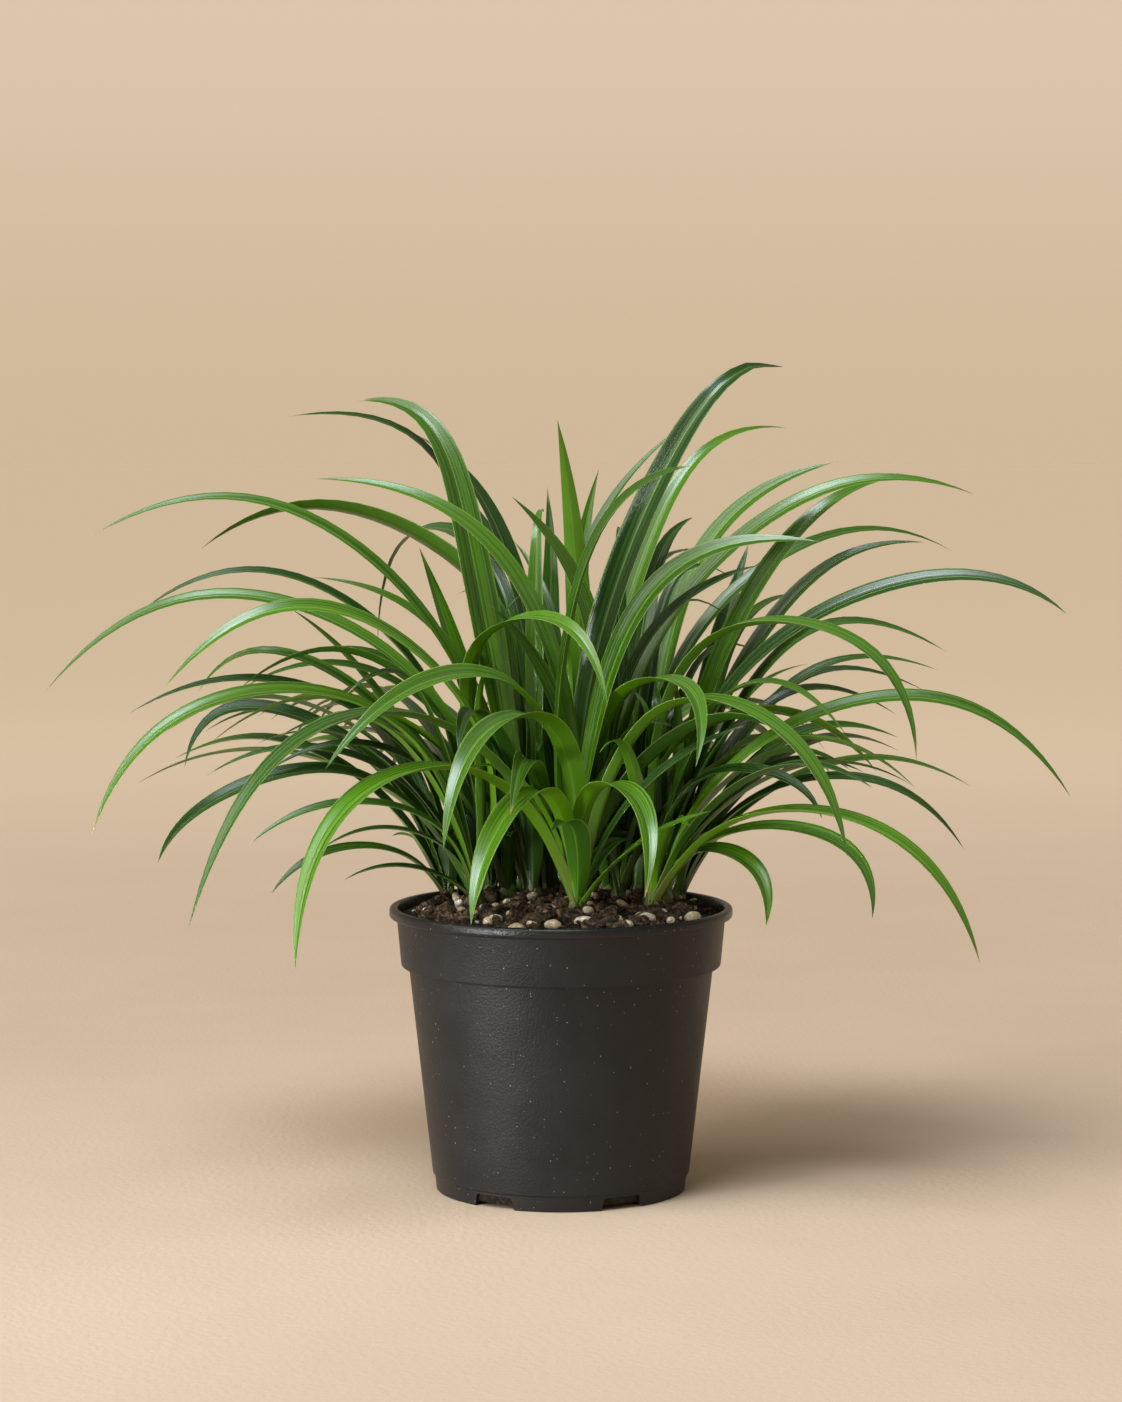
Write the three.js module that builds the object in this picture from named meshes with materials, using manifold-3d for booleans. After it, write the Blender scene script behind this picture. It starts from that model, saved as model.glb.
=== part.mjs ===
// Lily turf (liriope) growing in a round black nursery pot.
// Millimetres, +Z up. The origin is the centre of the pot's underside and -Y is the front.
// The pot is one moulded shell, the soil fills it, pale stones lie on the soil, and eighteen leafy
// shoots stand in plain holes in the soil. Each shoot is a flattened sheath with its arching leaves.

import * as THREE from 'three';
import { mergeVertices } from 'three/addons/utils/BufferGeometryUtils.js';
import Module from 'manifold-3d';

const wasm = await Module();
wasm.setup();

// ---------------------------------------------------------------- driving dimensions

const GAP = 0.3; // clearance between pieces that rest on or stand in one another
const SIDES = 48; // facets round the pot

const POT = {
  height: 157,
  lipRadius: 95,
  lipHeight: 5.5,
  mouthRadius: 90.5,
  collarTopRadius: 90.9,
  collarFootRadius: 88.4,
  collarFoot: 124.5,
  bodyTopRadius: 84.2,
  skirtTop: 9,
  skirtTopRadius: 71.3,
  skirtRadius: 70.3,
  footRadius: 69.6,
  wall: 1.8,
  floor: 2.2,
};

const NOTCH = { count: 6, turn: -1.5, width: 25.4, topWidth: 22, height: 7, inner: 52, corner: 1.6 };

const SOIL = { sides: 24, edge: 151.6, mound: 5, relief: 1.5, rings: 5, wallRings: [2.5, 9, 122.5, 127] };

const SHEATH = {
  sunk: 13,
  widest: 3,
  height: 11,
  long: 5.8,
  short: 4.4,
  sides: 8,
  rootHeight: 4,
  rootOut: 3,
};

const BLADE = {
  thick: 1.4,
  fold: 0.34,
  step: 36, // between rings of a listed leaf
  looseStep: 52, // between rings of the others
  fewest: 5,
  most: 10,
  beads: 12,
  clear: 0.6,
};

// A point well in front of the plant. A leaf that makes way for another slides along its sight line
// from here, so that the plant keeps its outline from the front.
const EYE = new THREE.Vector3(0, -1911, 414);

// Leaves that grow by rule: the spare ones arch outwards, the inner ones fill the middle.
const SPARE = { seed: 7, reach: [45, 215], length: [230, 330], width: [9, 13], tries: 160 };
const INNER = { heading: 0, spread: 180, reach: [10, 90], length: [130, 250], width: [7, 10] };

const STONE_COUNT = 9;

// Where each shoot stands, and its listed leaves. A leaf's row gives, in mm, x and z of two points
// that it runs through on its way from the sheath, x, y and z of its tip, its width, and its roll
// toward the front in degrees. `spare` says how many more leaves grow from the shoot by rule, the
// compass heading that they share (0 is +X, 90 is the back), how far they spread to either side, and
// their size. `inner` says how many short upright leaves it has besides.
const SHOOTS = [
  {
    at: [9, -25],
    turn: 10,
    spare: [0, 270, 60, 1],
    inner: 1,
    leaves: [
      [9, 186, 5, 208, -5, -75, 207, 14, 0],
      [21, 228, 39, 226, 43, -135, 179, 13, 0],
      [-12, 226, -34, 209, -46, -150, 167, 15, 0],
      [-12, 265, -37, 263, -60, -150, 205, 16, 0],
      [-54, 238, -102, 230, -135, -160, 145, 16, 5],
      [-74, 265, -118, 266, -190, -150, 166, 16, 5],
      [73, 275, 114, 262, 146, -150, 202, 15, 5],
      [28, 183, 50, 202, 80, -70, 217, 8, 26],
      [28, 203, 56, 236, 99, -50, 261, 9, 32],
      [19, 254, 54, 336, 140, -30, 359, 15, 45],
      [10, 305, 33, 369, 72, -10, 400, 15, 45],
    ],
  },
  {
    at: [8, 6],
    turn: 75,
    spare: [2, 60, 120, 0.9],
    inner: 2,
    leaves: [
      [-33, 284, -71, 286, -122, -120, 244, 13, 32],
      [40, 281, 62, 283, 70, -110, 244, 13, 5],
      [8, 220, -7, 278, -39, -40, 326, 13, 34],
      [2, 268, -41, 359, -133, -30, 393, 12, 42],
      [14, 241, 7, 317, -27, -5, 383, 12, 38],
      [59, 399, 88, 442, 127, 80, 458, 17, 48],
    ],
  },
  {
    at: [51, -8],
    turn: -20,
    spare: [4, -12, 30, 0.7],
    inner: 1,
    leaves: [
      [78, 190, 102, 185, 110, -60, 154, 11, 26],
      [95, 200, 148, 197, 167, -60, 158, 11, 26],
      [86, 233, 122, 231, 139, -70, 213, 10, 26],
      [114, 212, 185, 199, 219, -110, 141, 13, 10],
      [107, 315, 159, 304, 185, -110, 247, 14, 10],
      [115, 251, 203, 273, 276, -40, 221, 12, 32],
      [139, 317, 213, 340, 271, -50, 321, 14, 38],
    ],
  },
  {
    at: [-47, 14],
    turn: 25,
    spare: [5, 188, 32, 0.72],
    inner: 1,
    leaves: [
      [-75, 174, -99, 176, -122, 20, 168, 7, 10],
      [-67, 189, -97, 199, -134, 0, 187, 7, 10],
      [-74, 204, -126, 214, -170, -30, 194, 8, 26],
      [-136, 232, -184, 220, -217, -50, 187, 12, 29],
      [-119, 272, -200, 267, -250, -70, 204, 13, 26],
      [-54, 268, -131, 323, -211, -60, 283, 13, 34],
      [-85, 241, -158, 280, -239, 10, 263, 10, 26],
      [-77, 278, -182, 328, -284, 0, 276, 11, 34],
    ],
  },
  {
    at: [32, 22],
    turn: 40,
    spare: [5, 30, 70, 0.95],
    inner: 2,
    leaves: [
      [28, 234, 48, 303, 107, -20, 346, 14, 45],
      [88, 347, 161, 390, 229, 20, 384, 13, 38],
    ],
  },
  {
    at: [-16, 32],
    turn: 5,
    spare: [5, 150, 70, 1],
    inner: 2,
    leaves: [
      [-34, 245, -49, 267, -55, -60, 248, 13, 10],
      [-31, 312, 0, 315, 25, -60, 272, 12, 26],
      [-58, 361, -84, 424, -119, 90, 436, 17, 48],
    ],
  },
  {
    at: [66, 38],
    turn: 60,
    spare: [5, 12, 38, 0.8],
    inner: 1,
    leaves: [
      [85, 205, 125, 233, 170, 30, 228, 8, 26],
      [114, 216, 175, 224, 223, 0, 188, 9, 26],
      [93, 211, 137, 248, 192, 60, 245, 11, 26],
      [90, 226, 130, 269, 191, 60, 258, 9, 26],
      [90, 242, 140, 306, 217, 40, 295, 10, 29],
      [117, 309, 156, 347, 203, 30, 357, 12, 38],
      [103, 318, 146, 374, 191, 60, 393, 13, 38],
    ],
  },
  {
    at: [-64, 46],
    turn: -50,
    spare: [5, 172, 38, 0.8],
    inner: 1,
    leaves: [
      [-93, 182, -132, 183, -162, 10, 161, 8, 26],
      [-84, 216, -140, 241, -199, 30, 226, 8, 26],
      [-121, 245, -186, 263, -210, 20, 232, 12, 38],
      [-114, 272, -170, 295, -205, 40, 271, 10, 29],
      [-90, 296, -163, 340, -236, 20, 317, 10, 27],
    ],
  },
  {
    at: [-40, 48],
    turn: 80,
    spare: [4, 160, 50, 0.92],
    inner: 2,
    leaves: [
      [-63, 220, -108, 244, -162, 10, 231, 9, 26],
      [-53, 237, -107, 284, -179, 30, 275, 9, 26],
      [-55, 228, -94, 287, -157, 60, 289, 9, 26],
      [-80, 233, -114, 283, -154, 60, 319, 8, 26],
      [-77, 314, -164, 378, -263, 30, 360, 11, 32],
      [-51, 324, -81, 405, -155, 60, 427, 10, 32],
    ],
  },
  {
    at: [44, 56],
    turn: 15,
    spare: [4, 30, 45, 0.9],
    inner: 1,
    leaves: [
      [94, 229, 143, 282, 215, 70, 283, 9, 26],
      [93, 229, 141, 278, 211, 90, 269, 8, 26],
      [82, 214, 107, 263, 146, 140, 282, 7, 10],
      [79, 226, 100, 299, 141, 120, 324, 8, 26],
      [119, 343, 169, 362, 226, 100, 350, 10, 29],
      [56, 264, 91, 364, 157, 60, 402, 15, 45],
      [73, 226, 92, 299, 110, 110, 356, 13, 32],
      [46, 305, 60, 354, 77, 120, 369, 13, 32],
      [54, 226, 62, 293, 72, 130, 349, 8, 0],
    ],
  },
  {
    at: [4, 58],
    turn: -35,
    spare: [4, 90, 90, 1],
    inner: 2,
    leaves: [
      [10, 244, 9, 330, -2, 20, 425, 13, 0],
      [-25, 331, -49, 387, -82, 70, 417, 13, 38],
      [6, 256, 16, 351, 75, 110, 425, 9, 10],
      [-1, 243, -9, 322, -28, 110, 356, 9, 10],
    ],
  },
  {
    at: [-18, 68],
    turn: 20,
    spare: [3, 100, 60, 1],
    inner: 2,
    leaves: [
      [-71, 353, -123, 375, -202, 40, 353, 13, -42],
      [-42, 251, -72, 305, -142, 70, 336, 10, 29],
      [-64, 362, -93, 353, -109, 150, 292, 10, 30],
      [-12, 236, -6, 316, -8, 110, 387, 12, 0],
      [-37, 211, -60, 288, -82, 100, 352, 13, 26],
      [-19, 231, -28, 299, -53, 110, 350, 12, 26],
      [-15, 245, -32, 327, -65, 130, 391, 9, 10],
    ],
  },
  {
    at: [20, 72],
    turn: -10,
    spare: [6, 72, 60, 1],
    inner: 1,
    leaves: [
      [16, 239, 10, 321, 22, 110, 397, 12, 0],
      [50, 351, 81, 405, 132, 130, 421, 11, 32],
    ],
  },
  {
    at: [-46, 62],
    turn: 55,
    spare: [6, 125, 60, 1],
    inner: 1,
    leaves: [],
  },
  {
    at: [-30, 31],
    turn: 15,
    spare: [1, 200, 70, 0.72],
    inner: 4,
    leaves: [],
  },
  {
    at: [-7, 45],
    turn: 60,
    spare: [1, 100, 170, 0.85],
    inner: 4,
    leaves: [],
  },
  {
    at: [26, 46],
    turn: -25,
    spare: [1, 50, 120, 0.85],
    inner: 4,
    leaves: [],
  },
  {
    at: [58, 17],
    turn: 30,
    spare: [2, -10, 70, 0.65],
    inner: 3,
    leaves: [],
  },
];

// Moves tried in turn where a listed leaf would touch another: in depth at its tip, in depth along
// its middle, and sideways along its middle.
const MOVES = [0, 8, -8, 16, -16, 26, -26, 38, -38, 50, -50].flatMap((sway) => (
  [0, 6, -6, 12, -12, 20, -20, 28, -28].flatMap((bow) => [0, 4, -4, 8, -8].map((shift) => [sway, bow, shift]))
)).sort((a, b) => effort(a) - effort(b));

/** How much a move changes a leaf: a sideways shift shows most from the front. */
function effort([sway, bow, shift]) {
  return Math.abs(sway) + Math.abs(bow) + 4 * Math.abs(shift);
}

// ---------------------------------------------------------------- colours

const FINISH = {
  pot: { color: 0x26262a, roughness: 0.62 },
  soil: { color: 0x2b1d14, roughness: 0.98 },
  stone: { color: 0xb9ab94, roughness: 0.9 },
  shoot: { color: 0x2f6b1f, roughness: 0.42 },
};

// ---------------------------------------------------------------- helpers

let seed = 20;

/** Starts the sequence of draws again from a given number. */
function sow(number) {
  seed = number;
}

/** The next draw between 0 and 1 of one fixed sequence. */
function draw() {
  seed = (seed * 1664525 + 1013904223) % 4294967296;
  return seed / 4294967296;
}

/** A closed skin over rings of points with equal counts, with a flat or pointed cap at either end. */
function closedSkin(rings, pointed) {
  const sides = rings[0].length;
  const points = rings.flat();
  const faces = [];
  for (let r = 0; r + 1 < rings.length; r += 1) {
    for (let s = 0; s < sides; s += 1) {
      const a = r * sides + s;
      const b = r * sides + ((s + 1) % sides);
      faces.push(a, b, b + sides, a, b + sides, a + sides);
    }
  }
  for (let s = 1; s + 1 < sides; s += 1) {
    faces.push(0, s + 1, s);
  }
  const last = (rings.length - 1) * sides;
  if (pointed) {
    points.push(pointed);
    for (let s = 0; s < sides; s += 1) {
      faces.push(last + s, last + ((s + 1) % sides), points.length - 1);
    }
  } else {
    for (let s = 1; s + 1 < sides; s += 1) {
      faces.push(last, last + s, last + s + 1);
    }
  }
  const geometry = new THREE.BufferGeometry();
  geometry.setAttribute('position', new THREE.Float32BufferAttribute(points.flatMap((p) => p.toArray()), 3));
  geometry.setIndex(faces);
  return geometry;
}

/** A geometry as a solid that can be cut and joined. */
function solidOf(geometry) {
  const bare = geometry.clone();
  bare.deleteAttribute('normal');
  bare.deleteAttribute('uv');
  const merged = mergeVertices(bare, 1e-4);
  return new wasm.Manifold(new wasm.Mesh({
    numProp: 3,
    vertProperties: new Float32Array(merged.attributes.position.array),
    triVerts: new Uint32Array(merged.index.array),
  }));
}

/** The largest body of a solid, without loose scraps or sealed hollows. */
function mainBody(solid) {
  return solid.decompose().reduce((best, body) => (body.volume() > best.volume() ? body : best));
}

/** A cut or joined solid back as a geometry. */
function geometryOf(solid) {
  const mesh = solid.getMesh();
  const geometry = new THREE.BufferGeometry();
  geometry.setAttribute('position', new THREE.Float32BufferAttribute(mesh.vertProperties, 3));
  geometry.setIndex(Array.from(mesh.triVerts));
  geometry.computeVertexNormals();
  return geometry;
}

/** One finished piece. */
function piece(name, solid, finish) {
  const mesh = new THREE.Mesh(geometryOf(solid), new THREE.MeshStandardMaterial({ ...finish, metalness: 0 }));
  mesh.name = name;
  return mesh;
}

/** A solid turned from an [r, z] outline round the vertical axis. */
function turned(outline) {
  const points = outline.map(([r, z]) => new THREE.Vector2(r, z));
  const geometry = new THREE.LatheGeometry(points, SIDES);
  geometry.rotateX(Math.PI / 2);
  return solidOf(geometry);
}

// ---------------------------------------------------------------- pot

/** Outer outline of the pot from the foot up to the lip, as [r, z]. */
function potOutside() {
  const lipFoot = POT.height - POT.lipHeight;
  return [
    [0, 0],
    [POT.footRadius - 0.8, 0],
    [POT.footRadius, 0.8],
    [POT.skirtRadius, POT.skirtTop - 0.8],
    [POT.skirtTopRadius, POT.skirtTop],
    [POT.bodyTopRadius, POT.collarFoot - 1],
    [POT.collarFootRadius - 0.8, POT.collarFoot - 0.2],
    [POT.collarFootRadius, POT.collarFoot + 0.8],
    [POT.collarTopRadius, lipFoot - 0.5],
    [POT.lipRadius - 1.2, lipFoot],
    [POT.lipRadius, lipFoot + 1.4],
    [POT.lipRadius, POT.height - 1.5],
    [POT.lipRadius - 1.4, POT.height],
  ];
}

/** Inner outline of the pot from the lip down to the middle of the floor, `inset` mm inside the wall. */
function potInside(inset) {
  const slope = POT.wall + inset;
  return [
    [POT.mouthRadius + 1 - inset, POT.height],
    [POT.mouthRadius - inset, POT.height - 1.2],
    [POT.collarTopRadius - slope, POT.height - POT.lipHeight - 3],
    [POT.collarFootRadius - slope, POT.collarFoot + 2],
    [POT.bodyTopRadius - slope, POT.collarFoot - 2],
    [POT.skirtTopRadius - slope, POT.skirtTop],
    [POT.footRadius - slope, POT.floor + inset],
    [0, POT.floor + inset],
  ];
}

/** One drainage notch: a wedge-sided block that crosses the foot of the wall, rounded at its top corners. */
function notchBlock(angle) {
  const half = NOTCH.width / 2;
  const top = NOTCH.topWidth / 2;
  const outline = new THREE.Shape([
    new THREE.Vector2(-half, -1),
    new THREE.Vector2(half, -1),
    new THREE.Vector2(top, NOTCH.height - NOTCH.corner),
    new THREE.Vector2(top - NOTCH.corner, NOTCH.height),
    new THREE.Vector2(-top + NOTCH.corner, NOTCH.height),
    new THREE.Vector2(-top, NOTCH.height - NOTCH.corner),
  ]);
  const depth = POT.lipRadius - NOTCH.inner;
  const block = new THREE.ExtrudeGeometry(outline, { depth, bevelEnabled: false });
  block.translate(0, 0, NOTCH.inner);
  block.rotateX(Math.PI / 2);
  block.rotateZ(angle);
  return solidOf(block);
}

function makePot() {
  let pot = turned([...potOutside(), ...potInside(0)]);
  for (let n = 0; n < NOTCH.count; n += 1) {
    const angle = THREE.MathUtils.degToRad(NOTCH.turn + (360 / NOTCH.count) * n);
    pot = pot.subtract(notchBlock(angle));
  }
  return pot;
}

// ---------------------------------------------------------------- soil and stones

/** Height of the smooth soil surface at a distance r from the axis. */
function soilHeight(r) {
  const outer = POT.collarTopRadius - POT.wall;
  return SOIL.edge + SOIL.mound * (1 - (r / outer) ** 2);
}

/** One ring of the soil's skin at radius r, with a height for each of its points. */
function soilRing(r, heightAt) {
  const ring = [];
  for (let s = 0; s < SOIL.sides; s += 1) {
    const angle = (2 * Math.PI * s) / SOIL.sides;
    ring.push(new THREE.Vector3(r * Math.cos(angle), r * Math.sin(angle), heightAt()));
  }
  return ring;
}

/** Radius of the pot's inner wall, less the gap, at height z. */
function soilRadius(z) {
  const wall = potInside(GAP);
  for (let n = 1; n < wall.length; n += 1) {
    const [upper, lower] = [wall[n - 1], wall[n]];
    if (z <= upper[1] && z >= lower[1] && upper[1] > lower[1]) {
      return THREE.MathUtils.lerp(lower[0], upper[0], (z - lower[1]) / (upper[1] - lower[1]));
    }
  }
  return wall[wall.length - 2][0];
}

/** The block of soil: plain below, cloddy on top. */
function soilBlock() {
  const rings = SOIL.wallRings.map((z) => soilRing(soilRadius(z), () => z));
  const edge = soilRadius(SOIL.edge);
  for (let n = 0; n < SOIL.rings; n += 1) {
    const r = edge * (1 - n / SOIL.rings);
    const rough = n === 0 ? 0 : SOIL.relief;
    rings.push(soilRing(r, () => soilHeight(r) + rough * (2 * draw() - 1)));
  }
  return solidOf(closedSkin(rings, new THREE.Vector3(0, 0, soilHeight(0))));
}

/** Places and sizes of the pale stones: most lie on the open soil at the front of the pot. */
function stoneSpots() {
  const spots = [];
  for (let n = 0; n < STONE_COUNT; n += 1) {
    const heading = THREE.MathUtils.degToRad(198 + (150 / STONE_COUNT) * n + 5 * draw());
    const reach = 58 + 22 * ((n * 0.618) % 1);
    spots.push({
      at: [reach * Math.cos(heading), reach * Math.sin(heading)],
      size: [4 + 2.5 * draw(), 3.2 + 2 * draw(), 2.8 + 1.2 * draw()],
      turn: 2 * Math.PI * draw(),
    });
  }
  return spots;
}

/** One worn stone, `grown` mm larger all round. */
function stone(spot, grown) {
  const geometry = new THREE.IcosahedronGeometry(1, 1);
  geometry.scale(spot.size[0] + grown, spot.size[1] + grown, spot.size[2] + grown);
  geometry.rotateZ(spot.turn);
  const [x, y] = spot.at;
  geometry.translate(x, y, soilHeight(Math.hypot(x, y)) + 0.45 * spot.size[2]);
  return solidOf(geometry);
}

// ---------------------------------------------------------------- shoots

/** Rings of a shoot's flattened sheath, `grown` mm larger all round. */
function sheath(shoot, grown) {
  const [x, y] = shoot.at;
  const base = soilHeight(Math.hypot(x, y));
  const turn = THREE.MathUtils.degToRad(shoot.turn);
  const stations = [
    [-SHEATH.sunk - grown, 0.85],
    [SHEATH.widest, 1],
    [SHEATH.height, 0.55],
  ];
  const rings = stations.map(([rise, scale]) => {
    const ring = [];
    for (let s = 0; s < SHEATH.sides; s += 1) {
      const angle = (2 * Math.PI * s) / SHEATH.sides;
      const u = (SHEATH.long * scale + grown) * Math.cos(angle);
      const v = (SHEATH.short * scale + grown) * Math.sin(angle);
      ring.push(new THREE.Vector3(
        x + u * Math.cos(turn) - v * Math.sin(turn),
        y + u * Math.sin(turn) + v * Math.cos(turn),
        base + rise,
      ));
    }
    return ring;
  });
  return solidOf(closedSkin(rings));
}

/** Weighted sum of points. */
function blend(...terms) {
  return terms.reduce((sum, [weight, point]) => sum.addScaledVector(point, weight), new THREE.Vector3());
}

/** A leaf's line from root to tip by way of two points on it, bending evenly in its end stretches. */
function lineThrough(root, first, second, tip) {
  const [h0, h1, h2] = [root.distanceTo(first), first.distanceTo(second), second.distanceTo(tip)];
  const turn1 = blend([6 / h1, second], [-6 / h1 - 6 / h0, first], [6 / h0, root]);
  const turn2 = blend([6 / h2, tip], [-6 / h2 - 6 / h1, second], [6 / h1, first]);
  const whole = (3 * h0 + 2 * h1) * (2 * h1 + 3 * h2) - h1 * h1;
  const bend1 = blend([(2 * h1 + 3 * h2) / whole, turn1], [-h1 / whole, turn2]);
  const bend2 = blend([(3 * h0 + 2 * h1) / whole, turn2], [-h1 / whole, turn1]);
  const low = blend([0.5, root], [0.5, first], [-h0 * h0 / 4, bend1]);
  const high = blend([0.5, second], [0.5, tip], [-h2 * h2 / 4, bend2]);
  const rise = blend([1 + (2 * h1) / (3 * h0), first], [(-2 * h1) / (3 * h0), low]);
  const fall = blend([1 + (2 * h1) / (3 * h2), second], [(-2 * h1) / (3 * h2), high]);
  const line = new THREE.CurvePath();
  line.add(new THREE.QuadraticBezierCurve3(root, low, first));
  line.add(new THREE.CubicBezierCurve3(first, rise, fall, second));
  line.add(new THREE.QuadraticBezierCurve3(second, high, tip));
  return line;
}

/** A leaf of a shoot, from the points on it. */
function leafThrough(shoot, first, second, tip, width, roll, step = BLADE.step) {
  const [x, y] = shoot.at;
  const out = new THREE.Vector3(tip.x - x, tip.y - y, 0).normalize();
  const side = new THREE.Vector3(-out.y, out.x, 0);
  const base = soilHeight(Math.hypot(x, y)) + SHEATH.rootHeight;
  const root = new THREE.Vector3(x, y, base).addScaledVector(out, SHEATH.rootOut);
  const curve = lineThrough(root, first, second, tip);
  const steps = THREE.MathUtils.clamp(Math.round(curve.getLength() / step), BLADE.fewest, BLADE.most);
  return { curve, side, width, roll: THREE.MathUtils.degToRad(roll), steps, shoot };
}

/** Half the leaf's width at t: narrow at the sheath, full past the middle, then a long point. */
function halfWidth(leaf, t) {
  const swell = 0.42 + 0.58 * Math.sin((Math.PI / 2) * Math.min(t / 0.55, 1));
  const taper = t < 0.55 ? 1 : 1 - ((t - 0.55) / 0.45) ** 1.9;
  return 0.5 * leaf.width * swell * taper;
}

/** Centre, run, breadth and face directions of a leaf at t. */
function leafFrame(leaf, t) {
  const along = leaf.curve.getTangent(t);
  const flat = new THREE.Vector3().crossVectors(along, leaf.side).normalize();
  const front = leaf.side.clone().multiplyScalar(leaf.side.y < 0 ? 1 : -1);
  const roll = leaf.roll * (0.7 + 0.3 * t);
  const face = flat.multiplyScalar(Math.cos(roll)).addScaledVector(front, Math.sin(roll));
  face.addScaledVector(along, -face.dot(along)).normalize();
  const across = new THREE.Vector3().crossVectors(face, along);
  return { centre: leaf.curve.getPoint(t), along, across, face };
}

/** The leaf's solid: a channelled blade, thick at the midrib and sharp at its margins. */
function blade(leaf) {
  const rings = [];
  for (let n = 0; n < leaf.steps; n += 1) {
    const t = n / leaf.steps;
    const { centre, across, face } = leafFrame(leaf, t);
    const half = halfWidth(leaf, t);
    const thick = 0.5 * BLADE.thick * (1 - 0.4 * t);
    const spot = (u, v) => centre.clone().addScaledVector(across, u).addScaledVector(face, v);
    rings.push([
      spot(-half, BLADE.fold * half),
      spot(0, -thick),
      spot(half, BLADE.fold * half),
      spot(0, thick),
    ]);
  }
  return solidOf(closedSkin(rings, leaf.curve.getPoint(1)));
}

/** The room a leaf takes, as a row of flattened beads. */
function beadsOf(leaf) {
  const beads = [];
  for (let n = 0; n < BLADE.beads; n += 1) {
    const t = (n + 0.5) / BLADE.beads;
    const { centre, along, across, face } = leafFrame(leaf, t);
    const half = halfWidth(leaf, t);
    const step = leaf.curve.getLength() / BLADE.beads;
    const rise = 0.5 * BLADE.fold * half;
    beads.push({
      centre: centre.addScaledVector(face, rise),
      axes: [along, across, face],
      reach: [0.6 * step, half + BLADE.clear, rise + 0.5 * BLADE.thick + BLADE.clear],
      shoot: leaf.shoot,
      near: t < 0.2,
    });
  }
  return beads;
}

/** How far a bead reaches along a direction. */
function beadReach(bead, direction) {
  return Math.hypot(...bead.axes.map((axis, n) => bead.reach[n] * axis.dot(direction)));
}

/** Whether two beads are surely clear of each other. */
function beadsClear(a, b) {
  const between = b.centre.clone().sub(a.centre);
  const distance = between.length();
  if (distance > Math.max(...a.reach) + Math.max(...b.reach)) {
    return true;
  }
  const directions = [
    between.clone().divideScalar(distance),
    a.axes[1],
    a.axes[2],
    b.axes[1],
    b.axes[2],
    new THREE.Vector3().crossVectors(a.axes[0], b.axes[0]).normalize(),
    new THREE.Vector3().crossVectors(a.axes[0], between).cross(a.axes[0]).normalize(),
  ];
  return directions.some((d) => Math.abs(between.dot(d)) > beadReach(a, d) + beadReach(b, d));
}

/** The number of beads of a new leaf that touch what is already there, roots in one sheath aside. */
function crowding(beads, taken) {
  return beads.filter((bead) => taken.some((other) => (
    !(bead.shoot === other.shoot && (bead.near || other.near)) && !beadsClear(bead, other)
  ))).length;
}

/** A shoot's sheath as one upright bead, so that leaves of other shoots pass clear of it. */
function sheathBead(shoot) {
  const [x, y] = shoot.at;
  const base = soilHeight(Math.hypot(x, y));
  return {
    centre: new THREE.Vector3(x, y, base + 0.4 * SHEATH.height),
    axes: [new THREE.Vector3(0, 0, 1), new THREE.Vector3(1, 0, 0), new THREE.Vector3(0, 1, 0)],
    reach: [0.75 * SHEATH.height, SHEATH.long + BLADE.clear, SHEATH.long + BLADE.clear],
    shoot,
    near: true,
  };
}

/** A point moved `depth` mm away from the front along its sight line. */
function deeper(point, depth) {
  const sight = point.clone().sub(EYE);
  return point.clone().addScaledVector(sight, depth / sight.y);
}

/** A listed leaf, moved as little as clears the leaves already placed. */
function placeListed(shoot, row, taken) {
  const [ax, az, bx, bz, tx, ty, tz, width, roll] = row;
  const depth = (share) => THREE.MathUtils.lerp(shoot.at[1], ty, share);
  let best = null;
  for (const [sway, bow, shift] of MOVES) {
    const leaf = leafThrough(
      shoot,
      deeper(new THREE.Vector3(ax + 0.7 * shift, depth(0.28), az), 0.2 * sway + 0.7 * bow),
      deeper(new THREE.Vector3(bx + shift, depth(0.62), bz), 0.6 * sway + bow),
      deeper(new THREE.Vector3(tx, ty, tz), sway),
      width,
      roll,
    );
    const beads = beadsOf(leaf);
    const crowded = crowding(beads, taken);
    if (!best || crowded < best.crowded) {
      best = { leaf, beads, crowded };
    }
    if (crowded === 0) {
      break;
    }
  }
  return best;
}

/** How the spare leaves of a shoot grow. */
function spareRule(shoot) {
  const [, heading, spread, size] = shoot.spare;
  const scaled = (range) => range.map((value) => size * value);
  return { heading, spread, reach: scaled(SPARE.reach), length: scaled(SPARE.length), width: SPARE.width };
}

/** A leaf grown by rule as one plain arch, drawn again until it is clear, or nothing. */
function placeByRule(shoot, rule, taken) {
  const [x, y] = shoot.at;
  const base = soilHeight(Math.hypot(x, y));
  for (let tries = 0; tries < SPARE.tries; tries += 1) {
    const turn = THREE.MathUtils.degToRad(rule.heading + rule.spread * (2 * draw() - 1));
    const reach = THREE.MathUtils.lerp(rule.reach[0], rule.reach[1], draw());
    const length = THREE.MathUtils.lerp(rule.length[0], rule.length[1], draw());
    const height = length * (0.86 - 0.42 * (reach / SPARE.reach[1]));
    const droop = (reach / SPARE.reach[1]) * (0.3 + 0.35 * draw());
    const at = (share, rise) => new THREE.Vector3(
      x + share * reach * Math.cos(turn),
      y + share * reach * Math.sin(turn),
      base + rise * height,
    );
    const tip = at(1, 1 - droop);
    const crown = at(0.38, 1.12);
    const root = at(0, 0);
    const along = (t) => new THREE.QuadraticBezierCurve3(root, crown, tip).getPoint(t);
    const width = THREE.MathUtils.lerp(rule.width[0], rule.width[1], draw());
    const roll = 30 * (2 * draw() - 1);
    const leaf = leafThrough(shoot, along(1 / 3), along(2 / 3), tip, width, roll, BLADE.looseStep);
    const beads = beadsOf(leaf);
    if (crowding(beads, taken) === 0) {
      return { leaf, beads };
    }
  }
  return null;
}

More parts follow.
